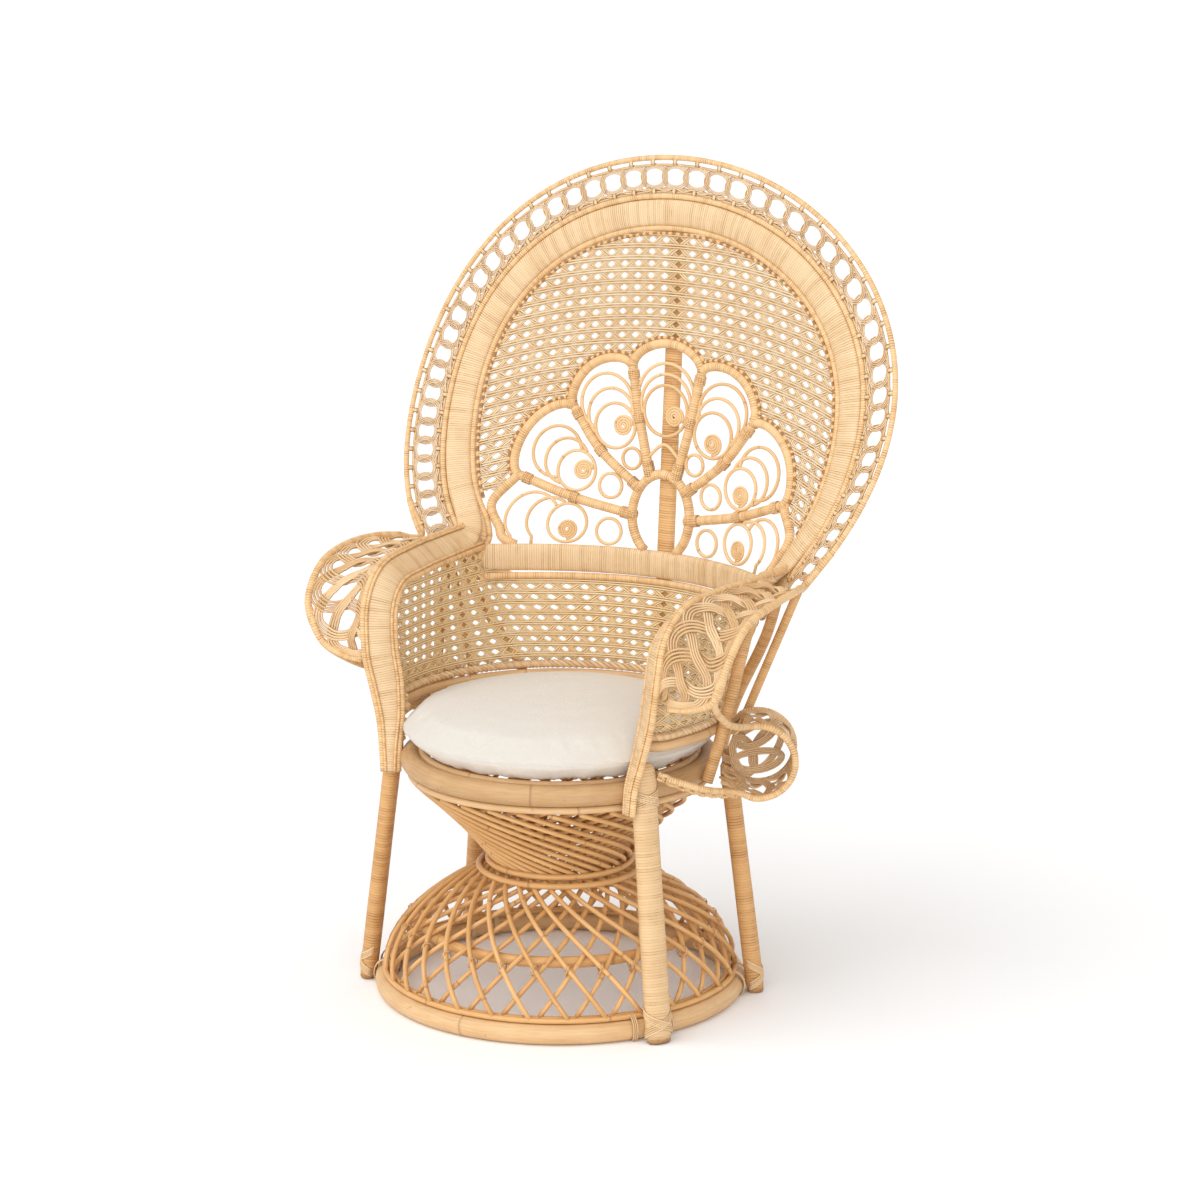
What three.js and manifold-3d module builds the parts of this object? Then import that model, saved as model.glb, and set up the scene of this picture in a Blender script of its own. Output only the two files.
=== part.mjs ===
// Peacock chair of bent rattan: a pedestal of twisted rods, a round seat with a loose cushion, a cane wall
// round the seat and a tall fan back with an open petal motif. Millimetres, +Z up, the seat faces -Y, and the
// origin is on the floor under the middle of the whole chair. The pieces are laid out from the pedestal's axis.
import * as THREE from "three";
import { mergeVertices } from "three/addons/utils/BufferGeometryUtils.js";
import Module from "manifold-3d";

const wasm = await Module();
wasm.setup();

// Overall sizes, and the clearance between pieces that touch
const CHAIR_HEIGHT = 1320;
const FAN_WIDTH = 930;
const SEAT_HEIGHT = 400;
const FIT_GAP = 0.35;
const CHORD_ALLOWANCE = 0.6;

// Pedestal: base ring, twisted rods in two layers, hoops
const BASE_RING_D = 600;
const BASE_POLE_D = 32;
const THROAT_D = 204;
const WAIST_HEIGHT = 210;
const TWIST_ROD_D = 8;
const TWIST_RODS = 10;
const DOME_STEPS = 6;
const FUNNEL_STEPS = 7;
const LAYER_GAP = 2.4;
const DOME_TWIST = 55;
const FUNNEL_TWIST = 108;
const FOOT_HOOP_ROD_D = 9;
const WAIST_ROD_D = 10;
const INNER_HOOP_ROD_D = 18;
const INNER_HOOP_HEIGHT = 110;

// Seat: pole ring, thin rods, woven deck and cushion
const SEAT_RING_D = 510;
const SEAT_POLE_D = 34;
const SEAT_THIN_ROD_D = 12;
const DECK_THICKNESS = 4;
const CUSHION_D = 500;
const CUSHION_STEPS = 32;
const CUSHION_CROWN = 84;
const CUSHION_SEAM_HEIGHT = 32;
const CUSHION_FLAT_D = 400;

// Legs, leaning on the outside of both rings, at angles from the chair's right
const FRONT_LEG_ANGLE = -27;
const REAR_LEG_ANGLE = 27;
const FRONT_LEG_WIDTH = 42;
const FRONT_LEG_THICKNESS = 28;
const REAR_LEG_D = 29;
const REAR_LEG_TOP = 384;

// Wound bands of the arms and the fan, and their edge rods
const BAND_WIDTH = 40;
const BAND_THICKNESS = 14;
const EDGE_ROD_D = 10;
const RIM_ROD_D = 12;
const STILE_FOOT_SHARE = 0.5;
const STILE_FULL_HEIGHT = 540;

// Fan back: an oval rim on a hollowed, leaning sheet
const FAN_BACK = 295;
const FAN_LEAN = 0.068;
const FAN_CURL_RADIUS = 385;
const FAN_CURL_FADE = 190;
const FAN_CENTRE_HEIGHT = 914;
const FAN_OPEN_ANGLE = 126;
const FAN_STEPS = 30;
const NECK_HEIGHT = 676;
const NECK_RISE = 3;
const NECK_OVERLAP = 24;
const FRINGE_WIDTH = 52;
const FRINGE_RAIL = 11;
const FRINGE_LINKS = 30;
const SHEET_THICKNESS = 4;
const MESH_LEVELS = [0, 0.14, 0.46, 0.57, 0.87, 1];
const FIELD_LOW_SHARE = 0.3;

// Petal motif in the fan, laid out from the middle of the sill's top edge
const SILL_BELOW_NECK = 12;
const SILL_TOP = NECK_HEIGHT - SILL_BELOW_NECK;
const SILL_HEIGHT = 34;
const SILL_HALF_LENGTH = 278;
const MOTIF_FAN_RISE = 656;
const MOTIF_ROD_D = 16;
const SCROLL_ROD_D = 6;
const ARCH_HALF_WIDTH = 56;
const ARCH_RISE = 70;
const ARCH_CENTRE = 61;
const PETAL_SWELL = 40;
const SCROLL_TURNS = 3;
const SCROLL_PITCH = 6.8;
const SCROLL_EYE = 3;
const SCROLL_TURN_STEPS = 8;
const SMALL_RING_STEPS = 12;
const SCROLL_GAP = 0.2;
const FIELD_GAP = 0.9;

// Wall round the seat, and the posts behind it
const RAIL_HEIGHT = 455;
const RAIL_D = 16;
const BORDER_D = 14;
const WAIST_ROD_ABOVE_WALL_D = 12;
const WALL_RADIUS = 266;
const WALL_SIDE_DROP = 33;
const WALL_FRONT_DROP = 70;
const POST_WIDTH = 30;
const POST_THICKNESS = 18;
const POST_BELOW_TOP = 88;
const POST_SHORT = 24;

// Lace on the arms: wings and rolls
const WING_CROWN = 10;
const WING_LEVELS = [0, 0.13, 0.46, 0.55, 0.87, 1];
const ROLL_RADIUS = 58;
const ROLL_LENGTH = 104;
const ROLL_HEIGHT = 418;
const ROLL_STANDOFF = 3;
const ROLL_ANGLE = 31;
const ROLL_FORWARD = 155;

// Colours read from the photograph
const POLE = { color: 0xdcae74, roughness: 0.55, metalness: 0 };
const WOUND = { color: 0xe2b77f, roughness: 0.6, metalness: 0 };
const CANE = { color: 0xe8c08a, roughness: 0.65, metalness: 0 };
const LINEN = { color: 0xece5da, roughness: 0.95, metalness: 0 };

// Vectors, sections and lofts
const RING_STEPS = 40;
const vec = (x, y, z) => new THREE.Vector3(x, y, z);
const mirror = (p) => vec(-p.x, p.y, p.z);
const mix = (a, b, t) => a + (b - a) * t;
const steps = (count) => Array.from({ length: count + 1 }, (_, i) => i / count);

function polar(degrees, radius, z) {
  const angle = THREE.MathUtils.degToRad(degrees);
  return vec(radius * Math.cos(angle), radius * Math.sin(angle), z);
}

function roundSection(diameter, sides) {
  return steps(sides).slice(1).map((t) => {
    const angle = 2 * Math.PI * t;
    return [Math.cos(angle) * diameter / 2, Math.sin(angle) * diameter / 2];
  });
}

function flatSection(width, thickness) {
  const w = width / 2;
  const t = thickness / 2;
  return [[-w, 0], [t - w, -t], [w - t, -t], [w, 0], [w - t, t], [t - w, t]];
}

// A closed solid through rings of equally many points, with its faces turned outwards. Its ends are filled from
// one half of the ring across to the other, so a bent sheet's end stays inside its outline.
function loft(rings, closed = false) {
  const count = rings[0].length;
  const index = [];
  const gaps = closed ? rings.length : rings.length - 1;
  for (let i = 0; i < gaps; i++) {
    const here = i * count;
    const next = ((i + 1) % rings.length) * count;
    for (let k = 0; k < count; k++) {
      const m = (k + 1) % count;
      index.push(here + k, here + m, next + m, here + k, next + m, next + k);
    }
  }
  if (!closed) {
    const end = (rings.length - 1) * count;
    for (let k = 0; k < count / 2 - 1; k++) {
      const [near, far] = [count - 1 - k, count - 2 - k];
      index.push(k, far, k + 1, k, near, far);
      index.push(end + k, end + k + 1, end + far, end + k, end + far, end + near);
    }
  }
  return closedBody(rings.flat(), index);
}

// A closed sheet over a grid of places, with a face either side of them. Open cells are left out, and the sheet
// is closed off all round them.
function pierced(grid, facing, open) {
  const rows = grid[0].length;
  const points = grid.flatMap((column, i) => column.flatMap((at) => [-1, 1].map((side) => (
    at.clone().addScaledVector(facing(at, i), side * SHEET_THICKNESS / 2)))));
  const id = (i, k, face) => (i * rows + k) * 2 + face;
  const empty = (i, k) => i < 0 || k < 0 || i > grid.length - 2 || k > rows - 2 || open(i, k);
  const index = [];
  const quad = (a, b, c, d) => index.push(a, b, c, a, c, d);
  const wall = (i, k, m, n) => quad(id(i, k, 0), id(m, n, 0), id(m, n, 1), id(i, k, 1));
  for (let i = 0; i < grid.length - 1; i++) {
    for (let k = 0; k < rows - 1; k++) {
      if (open(i, k)) continue;
      quad(id(i, k, 0), id(i, k + 1, 0), id(i + 1, k + 1, 0), id(i + 1, k, 0));
      quad(id(i, k, 1), id(i + 1, k, 1), id(i + 1, k + 1, 1), id(i, k + 1, 1));
      if (empty(i, k - 1)) wall(i, k, i + 1, k);
      if (empty(i, k + 1)) wall(i + 1, k + 1, i, k + 1);
      if (empty(i - 1, k)) wall(i, k + 1, i, k);
      if (empty(i + 1, k)) wall(i + 1, k, i + 1, k + 1);
    }
  }
  return closedBody(points, index);
}

function closedBody(points, index) {
  const geometry = new THREE.BufferGeometry().setFromPoints(points);
  geometry.setIndex(index);
  if (signedVolume(geometry) < 0) geometry.setIndex(index.reverse());
  return geometry;
}

function signedVolume(geometry) {
  const place = geometry.getAttribute("position");
  const corner = (i) => new THREE.Vector3().fromBufferAttribute(place, geometry.index.getX(i));
  let sum = 0;
  for (let i = 0; i < geometry.index.count; i += 3) {
    sum += corner(i).dot(corner(i + 1).cross(corner(i + 2)));
  }
  return sum;
}

// A section carried along points. Its width lies along the side vectors and can change by a share at each
// point. The last ring can be turned to stand square to a given direction.
function sweep(points, sides, section, closed = false, endAlong = null, shares = null) {
  const count = points.length;
  const rings = points.map((at, i) => {
    const before = points[closed ? (i + count - 1) % count : Math.max(i - 1, 0)];
    const after = points[closed ? (i + 1) % count : Math.min(i + 1, count - 1)];
    const turned = endAlong && i === count - 1;
    const along = turned ? endAlong.clone() : after.clone().sub(before).normalize();
    const side = (Array.isArray(sides) ? sides[i] : sides).clone();
    side.addScaledVector(along, -side.dot(along)).normalize();
    const up = along.clone().cross(side);
    const share = shares ? shares[i] : 1;
    return section.map(([u, v]) => at.clone().addScaledVector(side, u * share).addScaledVector(up, v));
  });
  return loft(rings, closed);
}

// Joining of solids that are bound into one piece
function solid(geometry) {
  const plain = geometry.clone();
  plain.deleteAttribute("normal");
  plain.deleteAttribute("uv");
  const merged = mergeVertices(plain);
  return new wasm.Manifold(new wasm.Mesh({
    numProp: 3,
    vertProperties: merged.getAttribute("position").array,
    triVerts: Uint32Array.from(merged.index.array),
  }));
}

function shape(piece) {
  const mesh = piece.getMesh();
  const geometry = new THREE.BufferGeometry();
  geometry.setAttribute("position", new THREE.Float32BufferAttribute(mesh.vertProperties, 3));
  geometry.setIndex(Array.from(mesh.triVerts));
  return geometry;
}

const join = (geometries) => shape(geometries.map(solid).reduce((sum, piece) => sum.add(piece)));

const chair = new THREE.Group();

function add(name, geometry, look) {
  const mesh = new THREE.Mesh(geometry, new THREE.MeshStandardMaterial(look));
  mesh.name = name;
  chair.add(mesh);
  return mesh;
}

// A level hoop with corners of its section straight above and below.
function hoop(radius, rodDiameter, z, sides = 6, count = RING_STEPS) {
  const points = Array.from({ length: count }, (_, i) => polar(360 * i / count, radius, z));
  return sweep(points, vec(0, 0, 1), roundSection(rodDiameter, sides), true);
}

// Pedestal
const BASE_R = (BASE_RING_D - BASE_POLE_D) / 2;
const SEAT_R = (SEAT_RING_D - SEAT_POLE_D) / 2;
const SEAT_RING_Z = SEAT_HEIGHT - SEAT_POLE_D / 2;
const UNDER_ROD_Z = SEAT_RING_Z - (SEAT_POLE_D + SEAT_THIN_ROD_D) / 2 - FIT_GAP;
const FOOT_Z = BASE_POLE_D + FOOT_HOOP_ROD_D / 2 + FIT_GAP;
const LAYER_STEP = TWIST_ROD_D + LAYER_GAP;
const BASE_POLE_SIDES = 8;
const ROD_FLAT = TWIST_ROD_D * Math.SQRT1_2;

// The base pole's section has a flat side down, so the ring stands on a true face.
function baseRing() {
  const corner = BASE_POLE_D / 2 / Math.cos(Math.PI / BASE_POLE_SIDES);
  const profile = steps(BASE_POLE_SIDES).map((t) => {
    const angle = 2 * Math.PI * t + Math.PI / BASE_POLE_SIDES;
    return new THREE.Vector2(BASE_R + corner * Math.cos(angle), corner * Math.sin(angle));
  });
  const ring = new THREE.LatheGeometry(profile, RING_STEPS);
  return ring.rotateX(Math.PI / 2).translate(0, 0, BASE_POLE_D / 2);
}

// The line that the outer rods follow, seen from the side (radius across, height up), in even steps below and
// above the throat. A rod turns faster where the pedestal is narrow.
function pedestalStations() {
  const throat = THROAT_D / 2;
  const topIn = TWIST_ROD_D / 2;
  const topReach = (ROD_FLAT + SEAT_THIN_ROD_D) / 2 + FIT_GAP;
  const topZ = UNDER_ROD_Z - Math.sqrt(topReach ** 2 - topIn ** 2);
  const dome = steps(DOME_STEPS).map((t) => {
    const rise = Math.sin(t * Math.PI / 2);
    return { r: mix(BASE_R, throat, rise ** 2), z: mix(FOOT_Z, WAIST_HEIGHT, rise) };
  });
  const funnel = steps(FUNNEL_STEPS).slice(1).map((t) => {
    const bend = t - 0.06 * Math.sin(Math.PI * t);
    return { r: mix(throat, SEAT_R - topIn, bend), z: mix(WAIST_HEIGHT, topZ, t) };
  });
  const line = [...dome, ...funnel];
  const turn = line.map(() => 0);
  for (let i = 1; i < line.length; i++) {
    const length = Math.hypot(line[i].r - line[i - 1].r, line[i].z - line[i - 1].z);
    turn[i] = turn[i - 1] + 2 * length / (line[i].r + line[i - 1].r);
  }
  const waist = turn[DOME_STEPS];
  const end = turn[turn.length - 1];
  return line.map(({ r, z }, i) => {
    const before = line[Math.max(i - 1, 0)];
    const after = line[Math.min(i + 1, line.length - 1)];
    const along = new THREE.Vector2(after.r - before.r, after.z - before.z).normalize();
    const twist = i < DOME_STEPS ? DOME_TWIST * (1 - turn[i] / waist)
      : -FUNNEL_TWIST * (turn[i] - waist) / (end - waist);
    return { r, z, along, twist };
  });
}

const stations = pedestalStations();

function twistedRod(start, direction, inset) {
  const points = stations.map(({ r, z, along, twist }) => (
    polar(start + direction * twist, r - along.y * inset, z + along.x * inset)));
  const outwards = points.map((p) => vec(p.x, p.y, 0).normalize());
  return sweep(points, outwards, roundSection(TWIST_ROD_D, 4));
}

// One layer of rods, standing in its own foot hoop.
function rodLayer(direction, inset) {
  const foot = hoop(BASE_R - inset, FOOT_HOOP_ROD_D, FOOT_Z, 6, 26);
  const rods = Array.from({ length: TWIST_RODS }, (_, i) => twistedRod(360 * i / TWIST_RODS, direction, inset));
  return join([foot, ...rods]);
}

// The distance, seen from the side, from a place to the line of the outer rods.
function rodDistance(radius, z) {
  const place = vec(radius, z, 0);
  const nearest = new THREE.Vector3();
  const gaps = stations.slice(1).map((here, i) => {
    const part = new THREE.Line3(vec(stations[i].r, stations[i].z, 0), vec(here.r, here.z, 0));
    return part.closestPointToPoint(place, true, nearest).distanceTo(place);
  });
  return Math.min(...gaps);
}

const SEARCH_STEP = 0.05;

// The first radius, outwards or inwards from a start, that keeps a hoop clear of the rods.
function clearRadius(start, z, reach, direction) {
  let radius = start;
  while (rodDistance(radius, z) < reach) radius += direction * SEARCH_STEP;
  return radius;
}

add("base_ring", baseRing(), POLE);
add("twist_rods_outer", rodLayer(1, 0), POLE);
add("twist_rods_inner", rodLayer(-1, LAYER_STEP), POLE);

const hoopReach = LAYER_STEP + (ROD_FLAT + INNER_HOOP_ROD_D) / 2;
const domeRise = (INNER_HOOP_HEIGHT - FOOT_Z) / (WAIST_HEIGHT - FOOT_Z);
const domeRadius = mix(BASE_R, THROAT_D / 2, domeRise ** 2);
const innerHoopRadius = clearRadius(domeRadius, INNER_HOOP_HEIGHT, hoopReach, -1);
add("inner_hoop", hoop(innerHoopRadius, INNER_HOOP_ROD_D, INNER_HOOP_HEIGHT, 6, 26), POLE);

const waistReach = (ROD_FLAT + WAIST_ROD_D) / 2 + 2 * FIT_GAP;
for (const [name, side] of [["waist_ring_lower", -1], ["waist_ring_upper", 1]]) {
  const z = WAIST_HEIGHT + side * (WAIST_ROD_D + FIT_GAP) / 2;
  add(name, hoop(clearRadius(THROAT_D / 2, z, waistReach, 1), WAIST_ROD_D, z, 6, 18), POLE);
}

// Seat
const SEAT_POLE_SIDES = 8;
const facet = Math.PI / SEAT_POLE_SIDES;
const topRodReach = SEAT_POLE_D / 2 * Math.cos(facet) + SEAT_THIN_ROD_D / 2 + FIT_GAP;
const TOP_ROD_R = SEAT_R - topRodReach * Math.cos(facet);
const TOP_ROD_Z = SEAT_RING_Z + topRodReach * Math.sin(facet);
const DECK_Z = TOP_ROD_Z + SEAT_THIN_ROD_D / 2 + FIT_GAP;
const DECK_TOP = DECK_Z + DECK_THICKNESS;
const DECK_R = TOP_ROD_R + SEAT_THIN_ROD_D / 2;

add("seat_ring", hoop(SEAT_R, SEAT_POLE_D, SEAT_RING_Z, SEAT_POLE_SIDES), POLE);
add("seat_under_rod", hoop(SEAT_R, SEAT_THIN_ROD_D, UNDER_ROD_Z), POLE);
add("seat_top_rod", hoop(TOP_ROD_R, SEAT_THIN_ROD_D, TOP_ROD_Z), POLE);

const deck = new THREE.CylinderGeometry(DECK_R, DECK_R, DECK_THICKNESS, 36).rotateX(Math.PI / 2);
add("seat_deck", deck.translate(0, 0, DECK_Z + DECK_THICKNESS / 2), CANE);

// A round pad with a crowned top, drawn in to a seam, and flat only where it lies on the deck.
function cushion() {
  const bottom = Math.max(DECK_TOP, SEAT_HEIGHT) + FIT_GAP;
  const flat = CUSHION_FLAT_D / 2;
  const edge = CUSHION_D / 2;
  const under = [0, 0.4, 0.8].map((t) => {
    const rise = 1 - Math.cos(t * Math.PI / 2);
    return [mix(flat, edge, t), bottom + CUSHION_SEAM_HEIGHT * rise];
  });
  const over = [0, 0.14, 0.34, 0.56, 0.78, 1].map((t) => {
    const swell = Math.sqrt(1 - (1 - t) ** 2.4);
    return [edge * (1 - t), bottom + mix(CUSHION_SEAM_HEIGHT, CUSHION_CROWN, swell)];
  });
  const profile = [[0, bottom], ...under, ...over].map(([r, z]) => new THREE.Vector2(r, z));
  profile[profile.length - 1].x = 0;
  return new THREE.LatheGeometry(profile, CUSHION_STEPS).rotateX(Math.PI / 2);
}

add("cushion", cushion(), LINEN);

// Legs: each leans on the outside of the base ring below and of the seat ring above.
function legRadius(halfThickness, z) {
  const lowZ = BASE_POLE_D / 2 * (1 + Math.tan(Math.PI / BASE_POLE_SIDES));
  const low = BASE_RING_D / 2 + FIT_GAP + halfThickness;
  const high = SEAT_RING_D / 2 + FIT_GAP + halfThickness;
  return mix(low, high, (z - lowZ) / (SEAT_RING_Z - lowZ));
}

function leg(angle, section, halfThickness, top) {
  const outwards = polar(angle, 1, 0);
  const across = vec(-outwards.y, outwards.x, 0);
  const rings = [0, top / 2, top].map((z) => section.map(([u, v]) => {
    const at = outwards.clone().multiplyScalar(legRadius(halfThickness, z));
    return at.addScaledVector(across, u).addScaledVector(outwards, v).setZ(z);
  }));
  return loft(rings);
}

const frontSection = roundSection(1, 12).map(([u, v]) => [u * FRONT_LEG_WIDTH, v * FRONT_LEG_THICKNESS]);
const rearSection = roundSection(REAR_LEG_D, 12);
const LEG_TOP = SEAT_HEIGHT;
add("front_leg_right", leg(FRONT_LEG_ANGLE, frontSection, FRONT_LEG_THICKNESS / 2, LEG_TOP), WOUND);
add("front_leg_left", leg(180 - FRONT_LEG_ANGLE, frontSection, FRONT_LEG_THICKNESS / 2, LEG_TOP), WOUND);
add("rear_leg_right", leg(REAR_LEG_ANGLE, rearSection, REAR_LEG_D / 2, REAR_LEG_TOP), WOUND);
add("rear_leg_left", leg(180 - REAR_LEG_ANGLE, rearSection, REAR_LEG_D / 2, REAR_LEG_TOP), WOUND);

// The fan's sheet: how far back it lies at a place in the front view, and its slopes there.
const curl = (z) => Math.exp((SILL_TOP - z) / FAN_CURL_FADE) / (2 * FAN_CURL_RADIUS);
const fanDepth = (x, z) => FAN_BACK + FAN_LEAN * (z - SILL_TOP) - curl(z) * x * x;
const onFan = (x, z) => vec(x, fanDepth(x, z), z);

function fanFront(x, z) {
  const slopeX = -2 * curl(z) * x;
  const slopeZ = FAN_LEAN + curl(z) * x * x / FAN_CURL_FADE;
  return vec(slopeX, -1, slopeZ).normalize();
}

// A line round the fan at an inset from the rim, running down both necks to an end height.
const RIM_A = (FAN_WIDTH - RIM_ROD_D) / 2;
const RIM_B = CHAIR_HEIGHT - RIM_ROD_D / 2 - FAN_CENTRE_HEIGHT;

const RIM_DROP = FAN_CENTRE_HEIGHT - NECK_HEIGHT - NECK_RISE;
const RIM_LOW_B = RIM_DROP / -Math.cos(THREE.MathUtils.degToRad(FAN_OPEN_ANGLE));

// The oval's lower half ends just above the necks, however high its centre is.
function rimPlace(angle) {
  const t = THREE.MathUtils.degToRad(angle);
  const rise = Math.cos(t);
  return { x: RIM_A * Math.sin(t), z: FAN_CENTRE_HEIGHT + (rise > 0 ? RIM_B : RIM_LOW_B) * rise };
}

const BAND_END = NECK_HEIGHT - NECK_OVERLAP;

// Stations round the rim, each with the direction inwards along the sheet: over the arc, round a corner at each
// neck, and straight down the neck.
function fanStations() {
  const inwardsAt = (here, along) => along.cross(fanFront(here.x, here.z)).normalize();
  const arc = steps(FAN_STEPS).map((t) => {
    const angle = mix(-FAN_OPEN_ANGLE, FAN_OPEN_ANGLE, t);
    const here = rimPlace(angle);
    const ahead = rimPlace(angle + 0.5);
    const along = onFan(ahead.x, ahead.z).sub(onFan(here.x, here.z));
    return { at: onFan(here.x, here.z), inwards: inwardsAt(here, along) };
  });
  const { at: corner, inwards: arcInwards } = arc[FAN_STEPS];
  const level = inwardsAt(corner, vec(0, -FAN_LEAN, -1));
  const turned = [0.35, 0.7, 1].map((t) => ({ at: corner, inwards: arcInwards.clone().lerp(level, t) }));
  const down = [0.5, 1].map((t) => ({ at: onFan(corner.x, mix(corner.z, BAND_END, t)), inwards: level }));
  const right = [...turned, ...down];
  const left = right.map(({ at, inwards }) => ({ at: mirror(at), inwards: mirror(inwards) })).reverse();
  return [...left, ...arc, ...right];
}

// A place reached from a station by a walk of a given length inwards along the sheet.
function walkInwards({ at, inwards }, length) {
  const count = Math.max(1, Math.ceil(length / 6));
  let place = at.clone();
  const heading = inwards.clone();
  for (let i = 0; i < count; i++) {
    const facing = fanFront(place.x, place.z);
    heading.addScaledVector(facing, -heading.dot(facing)).normalize();
    place.addScaledVector(heading, length / count);
    place = onFan(place.x, place.z);
  }
  return place;
}

const CORNER_STATIONS = 3;
const NECK_STATIONS = 2;
const fanGuide = fanStations();
const arcStation = (i) => fanGuide[NECK_STATIONS + CORNER_STATIONS + i];

// A line round the fan at an inset from the rim, with or without its run down the necks.
function fanLine(inset, withNecks) {
  const kept = withNecks ? fanGuide : fanGuide.slice(NECK_STATIONS, fanGuide.length - NECK_STATIONS);
  const points = kept.map((station) => walkInwards(station, inset));
  return points.filter((p, i) => i === 0 || p.distanceTo(points[i - 1]) > 1);
}

const fanFronts = (line) => line.map((p) => fanFront(p.x, p.z));
const insideOf = (line) => {
  const fronts = fanFronts(line);
  return line.map((p, i) => {
    const along = line[Math.min(i + 1, line.length - 1)].clone().sub(line[Math.max(i - 1, 0)]);
    return along.cross(fronts[i]).normalize();
  });
};

const FRINGE_OUT = RIM_ROD_D / 2 + FIT_GAP;
const OUTER_ROD_INSET = FRINGE_OUT + FRINGE_WIDTH + CHORD_ALLOWANCE + FIT_GAP + EDGE_ROD_D / 2;
const BAND_INSET = OUTER_ROD_INSET + EDGE_ROD_D / 2 + 4 * FIT_GAP + BAND_WIDTH / 2;
const INNER_ROD_INSET = BAND_INSET + BAND_WIDTH / 2 + FIT_GAP + EDGE_ROD_D / 2;
const FIELD_INSET = INNER_ROD_INSET + EDGE_ROD_D / 2 + FIT_GAP + SHEET_THICKNESS / 2;

function fanRod(inset, diameter) {
  const line = fanLine(inset, false);
  return sweep(line, insideOf(line), roundSection(diameter, 6));
}

const bandLine = fanLine(BAND_INSET, true);
add("fan_rim", fanRod(0, RIM_ROD_D), WOUND);
add("fan_outer_rod", fanRod(OUTER_ROD_INSET, EDGE_ROD_D), WOUND);
add("fan_band", sweep(bandLine, insideOf(bandLine), flatSection(BAND_WIDTH, BAND_THICKNESS)), WOUND);
add("fan_inner_rod", fanRod(INNER_ROD_INSET, EDGE_ROD_D), WOUND);

// The fringe: two rails joined by a chain of links, with an opening in each link.
function fringe() {
  const bar = 0.32;
  const widths = [0, FRINGE_RAIL, FRINGE_WIDTH - FRINGE_RAIL, FRINGE_WIDTH];
  const place = (t, width) => {
    const station = Math.min(Math.floor(t * FAN_STEPS), FAN_STEPS - 1);
    const from = walkInwards(arcStation(station), FRINGE_OUT + width);
    const to = walkInwards(arcStation(station + 1), FRINGE_OUT + width);
    return from.lerp(to, t * FAN_STEPS - station);
  };
  const along = steps(FRINGE_LINKS).flatMap((t) => [t * FRINGE_LINKS, t * FRINGE_LINKS + bar]);
  const grid = along.map((link) => widths.map((width) => place(link / (FRINGE_LINKS + bar), width)));
  return pierced(grid, (at) => fanFront(at.x, at.z), (link, strip) => link % 2 === 1 && strip === 1);
}

add("fringe_chain", fringe(), CANE);

// Motif: places are across from the middle and up from the sill's top edge, drawn for one rise of the fan above
// the sill and stretched with it.
const MOTIF_STRETCH = (CHAIR_HEIGHT - SILL_TOP) / MOTIF_FAN_RISE;
const onMotif = (x, up) => onFan(x, SILL_TOP + up * MOTIF_STRETCH);
const CUSPS = [vec(268, 0, 108), vec(174, 0, 230), vec(69, 0, 305)];
const SPOKE_FEET = [vec(52, 0, 58), vec(44, 0, 103), vec(26, 0, 129)];
const SPOKE_BENDS = [vec(160, 0, 80), vec(122, 0, 163), vec(49, 0, 216)];
const PETAL_INSET = INNER_ROD_INSET + EDGE_ROD_D / 2 + 8 * CHORD_ALLOWANCE + MOTIF_ROD_D / 2;
const neckTouch = [0, 2].map((i) => walkInwards(arcStation(FAN_STEPS + i), PETAL_INSET));
const neckPlaces = neckTouch.map((p) => vec(p.x, 0, (p.z - SILL_TOP) / MOTIF_STRETCH));
const LOW_PETAL = [CUSPS[0], ...neckPlaces, vec(262, 0, 12), vec(240, 0, 0)];

// A petal's edge swells from cusp to cusp, square to the line between them.
function petalEdge(from, to, swell) {
  const across = to.clone().sub(from);
  const outwards = vec(across.z, 0, -across.x).normalize();
  return steps(6).map((t) => {
    const round = Math.sqrt(Math.sin(Math.PI * t));
    return from.clone().addScaledVector(across, t).addScaledVector(outwards, swell * round);
  });
}

const bothSides = (places) => [places, places.map(mirror)];
const petalLines = [
  ...bothSides(LOW_PETAL),
  ...bothSides(petalEdge(CUSPS[0], CUSPS[1], PETAL_SWELL)),
  ...bothSides(petalEdge(CUSPS[1], CUSPS[2], PETAL_SWELL)),
  petalEdge(CUSPS[2], mirror(CUSPS[2]), PETAL_SWELL),
];
const spokeLines = CUSPS.flatMap((cusp, i) => bothSides([SPOKE_FEET[i], SPOKE_BENDS[i], cusp]));
const archLine = steps(12).map((t) => {
  const reach = Math.acos(-ARCH_CENTRE / ARCH_RISE) - 0.06;
  const angle = mix(-reach, reach, t);
  return vec(ARCH_HALF_WIDTH * Math.sin(angle), 0, ARCH_CENTRE + ARCH_RISE * Math.cos(angle));
});

// An arc across each petal inside its edge, and a small one over the arch.
const PETAL_ARCS = [
  [vec(222, 0, 2), vec(262, 0, 60), vec(226, 0, 97)],
  [vec(222, 0, 96), vec(226, 0, 190), vec(151, 0, 199)],
  [vec(146, 0, 194), vec(136, 0, 284), vec(57, 0, 255)],
];
const MIDDLE_ARCS = [
  [vec(61, 0, 272), vec(0, 0, 318), vec(-61, 0, 272)],
  [vec(33, 0, 155), vec(0, 0, 180), vec(-33, 0, 155)],
];
const arcLines = [...PETAL_ARCS.flatMap(bothSides), ...MIDDLE_ARCS];

function motifLine(places, count) {
  const curve = new THREE.CatmullRomCurve3(places);
  return curve.getSpacedPoints(count).map((p) => onMotif(p.x, p.z));
}

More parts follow.
